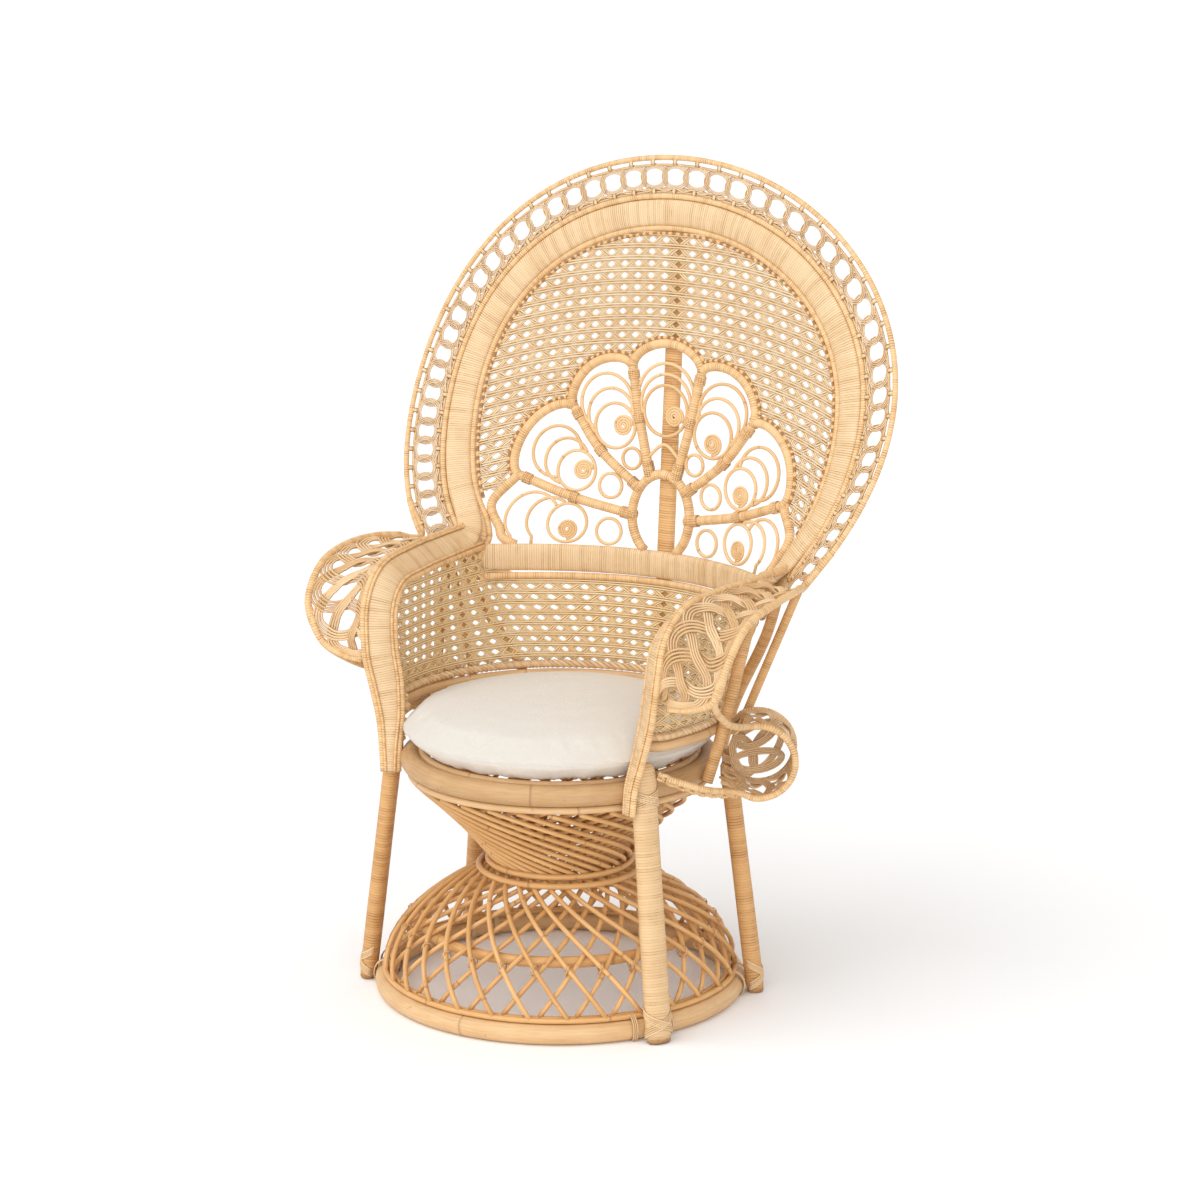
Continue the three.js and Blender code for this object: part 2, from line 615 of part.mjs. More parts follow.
const petals = petalLines.map((line) => motifLine(line, 6));
const poles = [motifLine(archLine, 12), ...spokeLines.map((line) => motifLine(line, 4)), ...petals];
const arcs = arcLines.map((line) => motifLine(line, 5));
const motifRod = (line, diameter, sides) => sweep(line, insideOf(line), roundSection(diameter, sides));
add("motif_frame", join([
  ...poles.map((line) => motifRod(line, MOTIF_ROD_D, 6)),
  ...arcs.map((line) => motifRod(line, SCROLL_ROD_D, 4)),
]), WOUND);

// Sill, carrying the motif
const SILL_Z = SILL_TOP - SILL_HEIGHT / 2 - FIT_GAP - MOTIF_ROD_D / 2;
const sillLine = steps(12).map((t) => onFan(mix(-SILL_HALF_LENGTH, SILL_HALF_LENGTH, t), SILL_Z));
add("sill", sweep(sillLine, vec(0, 0, 1), flatSection(SILL_HEIGHT, BAND_THICKNESS)), WOUND);

// The flat ring about a place in the motif that just clears the nearest rod, with the direction to that rod.
const carriers = [
  ...poles.map((line) => ({ line, reach: MOTIF_ROD_D / 2 })),
  ...arcs.map((line) => ({ line, reach: SCROLL_ROD_D / 2 })),
  { line: sillLine, reach: SILL_HEIGHT / 2 },
];

function ringAt([x, up], scrolls = []) {
  const centre = onMotif(x, up);
  const facing = fanFront(centre.x, centre.z);
  const nearest = new THREE.Vector3();
  let radius = Infinity;
  let toward = null;
  for (const { line, reach } of carriers) {
    for (let i = 1; i < line.length; i++) {
      new THREE.Line3(line[i - 1], line[i]).closestPointToPoint(centre, true, nearest);
      const free = nearest.distanceTo(centre) - reach - SCROLL_ROD_D / 2 - SCROLL_GAP;
      if (free > radius) continue;
      radius = free;
      toward = nearest.clone().sub(centre);
    }
  }
  for (const scroll of scrolls) {
    const free = scroll.centre.distanceTo(centre) - scroll.radius - SCROLL_ROD_D - SCROLL_GAP;
    if (free > radius) continue;
    radius = free;
    toward = scroll.centre.clone().sub(centre);
  }
  toward.addScaledVector(facing, -toward.dot(facing)).normalize();
  return { centre, radius, toward, across: facing.cross(toward) };
}

function ringPoint(ring, radius, shift, angle) {
  const along = shift + radius * Math.cos(angle);
  const sideways = radius * Math.sin(angle);
  return ring.centre.clone().addScaledVector(ring.toward, along).addScaledVector(ring.across, sideways);
}

const facingMiddle = (points, ring) => points.map((p) => ring.centre.clone().sub(p));

// A scroll in each petal: one rod wound inwards, its turns drawn together where it is tied to the frame.
function scroll(place) {
  const ring = ringAt(place);
  const points = steps(SCROLL_TURNS * SCROLL_TURN_STEPS).map((t) => {
    const radius = mix(ring.radius, SCROLL_EYE, t ** 1.3);
    const shift = ring.radius - radius - SCROLL_PITCH * SCROLL_TURNS * t;
    return ringPoint(ring, radius, shift, 2 * Math.PI * SCROLL_TURNS * t);
  });
  const last = points.length - 1;
  const along = points.map((_, i) => points[Math.min(i + 1, last)].clone().sub(points[Math.max(i - 1, 0)]));
  const facing = fanFront(ring.centre.x, ring.centre.z);
  return sweep(points, along.map((a) => a.cross(facing)), roundSection(SCROLL_ROD_D, 4));
}

function smallRing(place, scrollPlace) {
  const ring = ringAt(place, [ringAt(scrollPlace)]);
  const points = steps(SMALL_RING_STEPS).slice(1).map((t) => ringPoint(ring, ring.radius, 0, 2 * Math.PI * t));
  return sweep(points, facingMiddle(points, ring), roundSection(SCROLL_ROD_D, 4), true);
}

const SCROLLS = { low: [167, 33], mid: [160, 125], high: [95, 204] };
const TOP_SCROLL = [0, 236];
const SMALL_RINGS = { low: [96, 28], mid: [98, 104], high: [61, 152] };
for (const [level, [x, up]] of Object.entries(SCROLLS)) {
  add(`petal_scroll_${level}_right`, scroll([x, up]), WOUND);
  add(`petal_scroll_${level}_left`, scroll([-x, up]), WOUND);
}
add("petal_scroll_top", scroll(TOP_SCROLL), WOUND);
for (const [level, [x, up]] of Object.entries(SMALL_RINGS)) {
  const [scrollX, scrollUp] = SCROLLS[level];
  add(`small_ring_${level}_right`, smallRing([x, up], [scrollX, scrollUp]), WOUND);
  add(`small_ring_${level}_left`, smallRing([-x, up], [-scrollX, scrollUp]), WOUND);
}

// Cane field of the fan: a sheet with a grid of openings, from beside the petals out to the inner rod.
function fanField() {
  const low = petals[0][0].clone().lerp(petals[0][1], FIELD_LOW_SHARE);
  const right = [low, ...petals[2].slice(0, -1), ...petals[4].slice(0, -1), ...petals[6].slice(0, 3)];
  const edge = [...right, petals[6][3], ...right.toReversed().map(mirror)];
  const inner = beside(edge, MOTIF_ROD_D / 2 + FIELD_GAP);
  const outer = fanLine(FIELD_INSET, false);
  const angleOf = (p) => Math.atan2(p.z - SILL_TOP, p.x);
  const outerAt = (angle) => {
    const i = outer.findLastIndex((p) => angleOf(p) >= angle);
    const from = angleOf(outer[i]);
    return outer[i].clone().lerp(outer[i + 1], (from - angle) / (from - angleOf(outer[i + 1])));
  };
  const grid = inner.map((p) => {
    const to = outerAt(angleOf(p));
    return MESH_LEVELS.map((t) => onFan(mix(p.x, to.x, t), mix(p.z, to.z, t)));
  });
  const half = right.length;
  const fromMiddle = (column) => (column < half ? half - 1 - column : column - half);
  const open = (column, row) => row % 2 === 1 && fromMiddle(column) % 3 !== 1 && fromMiddle(column) < half - 3;
  return pierced(grid, (at) => fanFront(at.x, at.z), open);
}

// A line set off to the outer side of another on the fan, mitred at its corners.
function beside(line, reach) {
  const last = line.length - 1;
  return line.map((p, i) => {
    const front = fanFront(p.x, p.z);
    const [before, after] = [Math.max(i - 1, 0), Math.min(i, last - 1)].map((k) => (
      line[k + 1].clone().sub(line[k]).cross(front).normalize()));
    const middle = before.clone().add(after).normalize();
    const at = p.clone().addScaledVector(middle, reach / middle.dot(before));
    return onFan(at.x, at.z);
  });
}

add("fan_cane", fanField(), CANE);

// Arms: a wound band from each front leg up the stile and back along the arm to the fan's neck.
const neckEnd = bandLine[bandLine.length - 1 - NECK_STATIONS];
const neckFront = fanFront(neckEnd.x, NECK_HEIGHT);
const NECK_STANDOFF = BAND_THICKNESS / 2 + CHORD_ALLOWANCE + FIT_GAP;
const armEnd = onFan(neckEnd.x, NECK_HEIGHT).addScaledVector(neckFront, NECK_STANDOFF);
const STILE_R = CUSHION_D / 2 + 2 * FIT_GAP + EDGE_ROD_D + BAND_WIDTH / 2 * STILE_FOOT_SHARE;
const legTop = polar(FRONT_LEG_ANGLE, STILE_R, LEG_TOP + FIT_GAP);
const ARM_ROUTE = [
  { at: legTop, out: vec(0.78, -0.62, 0) },
  { at: legTop.clone().setZ(LEG_TOP + 30), out: vec(0.77, -0.64, 0) },
  { at: vec(248, -129, LEG_TOP + 90), out: vec(0.76, -0.65, 0) },
  { at: vec(258, -131, NECK_HEIGHT - 126), out: vec(0.75, -0.66, 0.02) },
  { at: vec(265, -120, NECK_HEIGHT - 54), out: vec(0.72, -0.5, 0.48) },
  { at: vec(272, -82, NECK_HEIGHT - 16), out: vec(0.71, -0.14, 0.69) },
  { at: vec(282, 0, NECK_HEIGHT - 4), out: vec(0.72, 0, 0.69) },
  { at: vec(293, 85, NECK_HEIGHT - 1), out: vec(0.74, 0.05, 0.67) },
  { at: armEnd, out: vec(0.76, 0.2, 0.62) },
];
const ARM_STEPS = 18;
const ROD_END_BACK = 0.5;
const ROD_REACH = EDGE_ROD_D / 2 + FIT_GAP;
const armCurve = new THREE.CatmullRomCurve3(ARM_ROUTE.map((stop) => stop.at));
const outCurve = new THREE.CatmullRomCurve3(ARM_ROUTE.map((stop) => stop.out));
const armLine = steps(ARM_STEPS).map((t) => armCurve.getPoint(armCurve.getUtoTmapping(t)));
const armOut = steps(ARM_STEPS).map((t, i) => {
  const along = armCurve.getTangentAt(t);
  const out = outCurve.getPoint(armCurve.getUtoTmapping(t));
  return out.addScaledVector(along, -out.dot(along)).normalize();
});
const armShares = armLine.map((p) => (
  mix(STILE_FOOT_SHARE, 1, THREE.MathUtils.smoothstep(p.z, LEG_TOP, STILE_FULL_HEIGHT))));
const armOffset = (side) => {
  const line = armLine.map((p, i) => (
    p.clone().addScaledVector(armOut[i], side * (BAND_WIDTH / 2 * armShares[i] + ROD_REACH))));
  line[ARM_STEPS].lerp(line[ARM_STEPS - 1], ROD_END_BACK);
  return line;
};
const outerRodLine = armOffset(1);
const innerRodLine = armOffset(-1);
const neckAlong = neckFront.clone().negate();

function onBothSides(name, build, look) {
  add(`${name}_right`, build((p) => p.clone()), look);
  add(`${name}_left`, build(mirror), look);
}

onBothSides("arm_band", (place) => sweep(armLine.map(place), armOut.map(place),
  flatSection(BAND_WIDTH, BAND_THICKNESS), false, place(neckAlong), armShares), WOUND);
onBothSides("arm_outer_rod", (place) => sweep(outerRodLine.map(place), armOut.map(place),
  roundSection(EDGE_ROD_D, 6), false, place(neckAlong)), WOUND);
onBothSides("arm_inner_rod", (place) => sweep(innerRodLine.map(place), armOut.map(place),
  roundSection(EDGE_ROD_D, 6), false, place(neckAlong)), WOUND);

// Wall: straight lines lean out from the rail round the seat to the line under the arms and the sill.
const WAIST_ROD_Z = SILL_Z - SILL_HEIGHT / 2 - FIT_GAP - WAIST_ROD_ABOVE_WALL_D / 2;
const WALL_BACK_TOP = WAIST_ROD_Z - WAIST_ROD_ABOVE_WALL_D / 2 - FIT_GAP;
const BORDER_Z = RAIL_HEIGHT + (RAIL_D + BORDER_D) / 2 + FIT_GAP;
const WALL_BOTTOM = BORDER_Z + BORDER_D / 2 + FIT_GAP;
const WALL_FRONT_TOP = NECK_HEIGHT - WALL_FRONT_DROP;
const WALL_SIDE_TOP = NECK_HEIGHT - WALL_SIDE_DROP;
const HALF_WALL_STEPS = 12;

function innerRodAt(z) {
  const i = innerRodLine.findIndex((p) => p.z >= z);
  const t = (z - innerRodLine[i - 1].z) / (innerRodLine[i].z - innerRodLine[i - 1].z);
  return innerRodLine[i - 1].clone().lerp(innerRodLine[i], t);
}

const wallFront = (z) => innerRodAt(z).add(vec(2, EDGE_ROD_D / 2 + RAIL_D / 2 + FIT_GAP, 0));
const lowPlan = [wallFront(RAIL_HEIGHT), polar(-8, WALL_RADIUS, RAIL_HEIGHT),
  ...[20, 45, 68, 90].map((angle) => polar(angle, WALL_RADIUS, RAIL_HEIGHT))];
const highPlan = [wallFront(WALL_FRONT_TOP), vec(266, 10, WALL_SIDE_TOP), vec(280, 115, WALL_SIDE_TOP),
  onFan(SILL_HALF_LENGTH + 4, WALL_BACK_TOP - 1), onFan(124, WALL_BACK_TOP - 1), onFan(0, WALL_BACK_TOP)];

const planCurve = (plan) => new THREE.CatmullRomCurve3([...plan, ...[...plan].reverse().slice(1).map(mirror)]);
const lowLine = planCurve(lowPlan).getPoints(2 * HALF_WALL_STEPS);
const highLine = planCurve(highPlan).getPoints(2 * HALF_WALL_STEPS);

function wallAt(i, z) {
  return lowLine[i].clone().lerp(highLine[i], (z - lowLine[i].z) / (highLine[i].z - lowLine[i].z));
}

function wallOut(i) {
  const along = lowLine[Math.min(i + 1, lowLine.length - 1)].clone().sub(lowLine[Math.max(i - 1, 0)]);
  return along.cross(vec(0, 0, 1)).setZ(0).normalize();
}

function wallCane() {
  const grid = lowLine.map((_, i) => MESH_LEVELS.map((t) => wallAt(i, WALL_BOTTOM).lerp(highLine[i], t)));
  const lastCell = grid.length - 2;
  const open = (column, row) => row % 2 === 1 && Math.min(column, lastCell - column) % 2 === 1;
  return pierced(grid, (at, i) => wallOut(i), open);
}

const wallRod = (z, diameter, sides) => (
  sweep(lowLine.map((_, i) => wallAt(i, z)), vec(0, 0, 1), roundSection(diameter, sides)));
add("wall_rail", wallRod(RAIL_HEIGHT, RAIL_D, 6), POLE);
add("wall_border", wallRod(BORDER_Z, BORDER_D, 4), CANE);
add("wall_cane", wallCane(), CANE);

const waistLine = steps(12).map((t) => onFan(mix(-SILL_HALF_LENGTH, SILL_HALF_LENGTH, t), WAIST_ROD_Z));
add("waist_rod", sweep(waistLine, vec(0, 0, 1), roundSection(WAIST_ROD_ABOVE_WALL_D, 6)), WOUND);

// Posts behind the wall, each with its foot against the seat ring. The middle one runs on up behind the fan.
const POST_REACH = (RAIL_D + POST_THICKNESS) / 2 + FIT_GAP;
const FAN_POST_REACH = (BAND_THICKNESS + POST_THICKNESS) / 2 + FIT_GAP;
const POST_FOOT_Z = SEAT_RING_Z - SEAT_POLE_D / 4;
const POST_TOP = CHAIR_HEIGHT - POST_BELOW_TOP;

function postFoot(i) {
  const turn = 360 / RING_STEPS;
  const angle = THREE.MathUtils.radToDeg(Math.atan2(lowLine[i].y, lowLine[i].x));
  return polar(Math.round(angle / turn) * turn, SEAT_RING_D / 2 + FIT_GAP + POST_THICKNESS / 2, POST_FOOT_Z);
}

const behindWall = (i, z) => wallAt(i, z).addScaledVector(wallOut(i), POST_REACH);
const behindFan = (z, reach) => onFan(0, z).add(vec(0, reach, 0));
const middle = HALF_WALL_STEPS;
const postLine = [postFoot(middle), behindWall(middle, RAIL_HEIGHT), behindWall(middle, WALL_BACK_TOP),
  behindFan(SILL_TOP, POST_REACH), behindFan(mix(SILL_TOP, POST_TOP, 0.6), POST_REACH),
  behindFan(POST_TOP, FAN_POST_REACH)];
add("centre_post", sweep(postLine, vec(1, 0, 0), flatSection(POST_WIDTH, POST_THICKNESS)), WOUND);

function sidePost(i, place) {
  const out = wallOut(i);
  const line = [postFoot(i), behindWall(i, RAIL_HEIGHT), behindWall(i, highLine[i].z - POST_SHORT)];
  return sweep(line.map(place), place(vec(-out.y, out.x, 0)), flatSection(POST_WIDTH, POST_THICKNESS));
}

const SIDE_POST = 4;
const REAR_POST = 7;
onBothSides("side_post", (place) => sidePost(SIDE_POST, place), WOUND);
onBothSides("rear_post", (place) => sidePost(REAR_POST, place), WOUND);

// Wings: lace between the arm's outer rod and a rim rod that swings out round the front of the arm.
const wingPlace = (x, y, up) => vec(x, y, NECK_HEIGHT + up);
const WING_RIM = [wingPlace(292, -140, -168), wingPlace(335, -136, -152), wingPlace(374, -137, -124),
  wingPlace(397, -140, -66), wingPlace(405, -98, -12), wingPlace(411, -24, 10), wingPlace(402, 50, 14),
  wingPlace(385, 92, 10)];
const WING_FROM = 5;
const WING_TO = 16;
const wingCount = WING_TO - WING_FROM;
const wingRim = new THREE.CatmullRomCurve3(WING_RIM).getSpacedPoints(wingCount);

const squareTo = (line, i, across) => {
  const along = line[Math.min(i + 1, line.length - 1)].clone().sub(line[Math.max(i - 1, 0)]).normalize();
  return across.clone().addScaledVector(along, -across.dot(along)).normalize();
};

function wing(place) {
  const rods = outerRodLine.slice(WING_FROM, WING_TO + 1);
  const facings = [];
  const grid = wingRim.map((rim, i) => {
    const across = rim.clone().sub(rods[i]);
    const start = rods[i].clone().addScaledVector(squareTo(rods, i, across), EDGE_ROD_D / 2 + FIT_GAP);
    const end = rim.clone().addScaledVector(squareTo(wingRim, i, across), -RIM_ROD_D / 2 - FIT_GAP);
    const along = wingRim[Math.min(i + 1, wingCount)].clone().sub(wingRim[Math.max(i - 1, 0)]);
    const facing = across.cross(along).normalize();
    facings.push(place(facing));
    return WING_LEVELS.map((t) => place(
      start.clone().lerp(end, t).addScaledVector(facing, -WING_CROWN * Math.sin(Math.PI * t))));
  });
  const open = (column, row) => column % 2 === 1 && row % 2 === 1;
  return pierced(grid, (at, i) => facings[i], open);
}

onBothSides("wing_lace", wing, CANE);
onBothSides("wing_rim", (place) => sweep(wingRim.map(place), vec(0, 0, 1), roundSection(RIM_ROD_D, 6)), WOUND);

// Rolls: a lace sheet from the side post's foot, out and round, and back in to the post.
function roll(place) {
  const outwards = polar(ROLL_ANGLE, 1, 0);
  const along = vec(-outwards.y, outwards.x, 0);
  const postOut = wallOut(SIDE_POST);
  const postReach = POST_THICKNESS / 2 * Math.abs(postOut.dot(outwards))
    + POST_WIDTH / 2 * Math.abs(postOut.dot(along)) + FIT_GAP;
  const lowSide = postFoot(SIDE_POST).dot(outwards) + postReach;
  const highSide = behindWall(SIDE_POST, RAIL_HEIGHT).dot(outwards) + postReach;
  const centre = SEAT_RING_D / 2 + ROLL_STANDOFF + ROLL_RADIUS;
  const round = steps(12).map((t) => {
    const angle = THREE.MathUtils.degToRad(mix(-100, 118, t));
    return [centre + ROLL_RADIUS * Math.cos(angle), ROLL_HEIGHT + ROLL_RADIUS * Math.sin(angle)];
  });
  const line = [[lowSide, SEAT_RING_Z], ...round, [highSide, RAIL_HEIGHT]];
  const points = line.map(([radius, z]) => outwards.clone().multiplyScalar(radius).setZ(z));
  const back = ROLL_LENGTH - ROLL_FORWARD;
  const section = [[-ROLL_FORWARD, -1], [back, -1], [back, 1], [-ROLL_FORWARD, 1]];
  const sheet = section.map(([u, v]) => [u, v * SHEET_THICKNESS / 2]);
  return sweep(points.map(place), place(along), sheet);
}

onBothSides("roll_lace", roll, CANE);

// The origin goes to the floor under the middle of the chair's box.
const box = new THREE.Box3().setFromObject(chair);
const boxCentre = box.getCenter(new THREE.Vector3());
chair.position.set(-boxCentre.x, -boxCentre.y, -box.min.z);

export default chair;
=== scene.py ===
"""Looks of the peacock chair: bent rattan poles, wound cane, open weaves, knotted lace and a linen cushion.

The pieces are laid out in millimetres from the pedestal's axis, and placed in the frame in metres.
"""
import math
import random

import bmesh
import bpy
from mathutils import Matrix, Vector


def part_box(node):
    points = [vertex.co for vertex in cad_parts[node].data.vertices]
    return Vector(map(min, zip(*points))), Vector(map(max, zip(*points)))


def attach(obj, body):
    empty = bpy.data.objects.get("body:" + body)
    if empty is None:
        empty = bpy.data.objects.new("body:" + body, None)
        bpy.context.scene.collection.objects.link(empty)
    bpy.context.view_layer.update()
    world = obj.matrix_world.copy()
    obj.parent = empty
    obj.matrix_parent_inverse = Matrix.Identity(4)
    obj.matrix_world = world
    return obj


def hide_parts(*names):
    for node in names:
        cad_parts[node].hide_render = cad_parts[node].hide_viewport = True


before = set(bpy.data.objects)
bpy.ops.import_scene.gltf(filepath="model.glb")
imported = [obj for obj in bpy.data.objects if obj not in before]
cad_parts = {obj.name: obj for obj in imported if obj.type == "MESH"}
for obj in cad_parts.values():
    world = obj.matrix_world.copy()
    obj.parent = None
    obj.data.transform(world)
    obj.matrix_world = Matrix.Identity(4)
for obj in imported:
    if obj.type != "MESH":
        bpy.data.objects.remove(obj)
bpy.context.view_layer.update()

MM = 0.001
UP = Vector((0, 0, 1))
base_low, base_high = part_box("base_ring")
AXIS_Y = (base_low[1] + base_high[1]) / 2
shuffle = random.Random(7)

# Sizes in millimetres, as in the solids
BASE_R = 284
BASE_POLE_D = 32
FOOT_Z = 36.85
THROAT_R = 102
WAIST_Z = 210
FUNNEL_TOP_R = 234
FUNNEL_TOP_Z = 351.4
DOME_TWIST = 55
FUNNEL_TWIST = 108
LAYER_STEP = 10.4
RODS_IN_LAYER = 30
SEAT_R = 238
SEAT_Z = 383
SEAT_POLE_D = 34
SILL_TOP = 664
SILL_Z = 638.65
SILL_HALF = 278
WAIST_ROD_Z = 615.3
BAND_WIDTH = 40
BAND_THICKNESS = 14
FAN_BACK = 295
FAN_LEAN = 0.068
FAN_CURL_RADIUS = 385
FAN_CURL_FADE = 190
FAN_CENTRE = 914
RIM_A = 459
RIM_B = 400
RIM_LOW_B = 399.8
FAN_OPEN_ANGLE = 126
BAND_END = 652
RIM_ROD_INSET = 2
OUTER_ROD_INSET = 64.3
BAND_INSET = 90.7
INNER_ROD_INSET = 116.05
FIELD_INSET = 123.4
PETAL_INSET = 133.85


# Lines and places
def mix(a, b, t):
    return a + (b - a) * t


def steps(count):
    return [i / count for i in range(count + 1)]


def mirrored(p):
    return Vector((-p.x, p.y, p.z))


def polar(degrees, radius, z):
    angle = math.radians(degrees)
    return Vector((radius * math.cos(angle), radius * math.sin(angle), z))


def spline_at(points, t):
    """The place at t on a curve through the points, whose pace follows their spacing."""
    last = len(points) - 1
    i = min(int(t * last), last - 1)
    part = t * last - i
    p1, p2 = points[i], points[i + 1]
    p0 = points[i - 1] if i > 0 else p1 * 2 - p2
    p3 = points[i + 2] if i + 2 <= last else p2 * 2 - p1
    paces = [max((b - a).length, 1e-4) ** 0.5 for a, b in ((p0, p1), (p1, p2), (p2, p3))]
    before, here, after = paces
    leave = ((p1 - p0) / before - (p2 - p0) / (before + here) + (p2 - p1) / here) * here
    reach = ((p2 - p1) / here - (p3 - p1) / (here + after) + (p3 - p2) / after) * here
    cubic = (p1 - p2) * 2 + leave + reach
    square = (p2 - p1) * 3 - leave * 2 - reach
    return ((cubic * part + square) * part + leave) * part + p1


def even_paces(points, count):
    """The values of t that divide a curve into even lengths."""
    fine = 40 * (len(points) - 1)
    places = [spline_at(points, t) for t in steps(fine)]
    lengths = [0.0]
    for a, b in zip(places, places[1:]):
        lengths.append(lengths[-1] + (b - a).length)
    paces = []
    i = 0
    for t in steps(count):
        goal = t * lengths[-1]
        while i < fine - 1 and lengths[i + 1] < goal:
            i += 1
        span = max(lengths[i + 1] - lengths[i], 1e-9)
        paces.append(min((i + (goal - lengths[i]) / span) / fine, 1))
    return paces


def spline(points, count):
    return [spline_at(points, t) for t in even_paces(points, count)]


def tangents(line, closed=False):
    count = len(line)
    found = []
    for i in range(count):
        before = line[i - 1] if i > 0 else line[-2 if closed else 0]
        after = line[i + 1] if i + 1 < count else line[1 if closed else -1]
        found.append((after - before).normalized())
    return found


def round_section(diameter, corners=8):
    angles = [2 * math.pi * k / corners for k in range(corners)]
    return [(math.cos(a) * diameter / 2, math.sin(a) * diameter / 2) for a in angles]


def flat_section(width, thickness, corners=12, squareness=0.55):
    """An oval drawn out towards a rectangle, for bands, ribbons and flat strands."""
    def drawn(value):
        return math.copysign(abs(value) ** squareness, value)
    angles = [2 * math.pi * k / corners for k in range(corners)]
    return [(drawn(math.cos(a)) * width / 2, drawn(math.sin(a)) * thickness / 2) for a in angles]


# Strands gathered into a piece
class Piece:
    """Strands in one mesh, whose points keep the run along the strand, the place across it and its tone."""

    scratch = bpy.data.meshes.new("strand")

    def __init__(self, name):
        self.name = name
        self.mesh = bmesh.new()
        for layer in ("run", "across", "tone"):
            self.mesh.verts.layers.float.new(layer)

    def strand(self, line, sides, section, closed=False, sizes=None, tone=None):
        """Carries a section along a line, its width along the side vectors.

        A closed line ends where it starts. The sizes are the section's shares of its width and thickness.
        """
        count = len(line) - 1
        corners = len(section)
        widest = max(abs(u) for u, _ in section)
        tone = shuffle.random() if tone is None else tone
        alongs = tangents(line, closed)
        stations = []
        run = 0.0
        for i, at in enumerate(line):
            side = (sides[i] if isinstance(sides, list) else sides).copy()
            side = (side - alongs[i] * side.dot(alongs[i])).normalized()
            run += (at - line[i - 1]).length if i > 0 else 0
            stations.append((at, side, alongs[i].cross(side), run, sizes[i] if sizes else (1, 1)))
        tube = bmesh.new()
        run_layer, across_layer, tone_layer = [
            tube.verts.layers.float.new(layer) for layer in ("run", "across", "tone")]
        bmesh.ops.create_grid(tube, x_segments=count, y_segments=corners, size=1)
        seam = []
        for v in tube.verts:
            i = round((v.co.x + 1) / 2 * count)
            k = round((v.co.y + 1) / 2 * corners)
            at, side, up, run, (wide, thick) = stations[i]
            u, w = section[k % corners]
            v[run_layer] = run * MM
            v[across_layer] = u / widest
            v[tone_layer] = tone
            place = at + side * (u * wide) + up * (w * thick)
            v.co = Vector((place.x * MM, place.y * MM + AXIS_Y, place.z * MM))
            if k in (0, corners) or (closed and i in (0, count)):
                seam.append(v)
        bmesh.ops.remove_doubles(tube, verts=seam, dist=1e-6)
        for face in tube.faces:
            face.smooth = True
        if not closed:
            rims = [edge for edge in tube.edges if edge.is_boundary]
            bmesh.ops.holes_fill(tube, edges=rims, sides=corners)
        tube.to_mesh(Piece.scratch)
        tube.free()
        self.mesh.from_mesh(Piece.scratch)

    def finish(self, material, slot, *nodes, body="chair"):
        """Makes the piece, which rides on its body and stands for its solids."""
        bmesh.ops.recalc_face_normals(self.mesh, faces=self.mesh.faces)
        mesh = bpy.data.meshes.new(self.name)
        self.mesh.to_mesh(mesh)
        self.mesh.free()
        place_piece(bpy.data.objects.new(self.name, mesh), material, nodes, body)


def place_piece(piece, material, nodes, body):
    bpy.context.scene.collection.objects.link(piece)
    piece.data.materials.clear()
    piece.data.materials.append(material)
    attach(piece, body)
    if nodes:
        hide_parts(*nodes)


# Finishes
class Value:
    """A socket in a tree of nodes. An expression on it adds the Math nodes."""

    def __init__(self, nodes, socket):
        self.nodes = nodes
        self.socket = socket

    def worked(self, operation, first, second):
        return self.nodes.node("ShaderNodeMath", {"operation": operation}, {0: first, 1: second})

    def __add__(self, other):
        return self.worked("ADD", self, other)

    def __radd__(self, other):
        return self.worked("ADD", other, self)

    def __sub__(self, other):
        return self.worked("SUBTRACT", self, other)

    def __rsub__(self, other):
        return self.worked("SUBTRACT", other, self)

    def __mul__(self, other):
        return self.worked("MULTIPLY", self, other)

    def __rmul__(self, other):
        return self.worked("MULTIPLY", other, self)

    def __truediv__(self, other):
        return self.worked("DIVIDE", self, other)

    def __pow__(self, other):
        return self.worked("POWER", self, other)


def linear(red, green, blue):
    """A colour as it is seen, from 0 to 255, turned to light."""
    def light(part):
        part /= 255
        return part / 12.92 if part <= 0.04045 else ((part + 0.055) / 1.055) ** 2.4
    return (light(red), light(green), light(blue), 1)


class Nodes:
    """A tree of nodes under way."""

    def __init__(self, tree):
        self.tree = tree

    def node(self, kind, settings, inputs, output=0):
        """Adds a node: its settings first, then the values or links of its sockets."""
        node = self.tree.nodes.new(kind)
        for key, value in settings.items():
            setattr(node, key, value)
        for key, value in inputs.items():
            self.feed(node.inputs[key], value)
        return Value(self, node.outputs[output])

    def feed(self, socket, value):
        if isinstance(value, Value):
            self.tree.links.new(value.socket, socket)
        else:
            socket.default_value = value


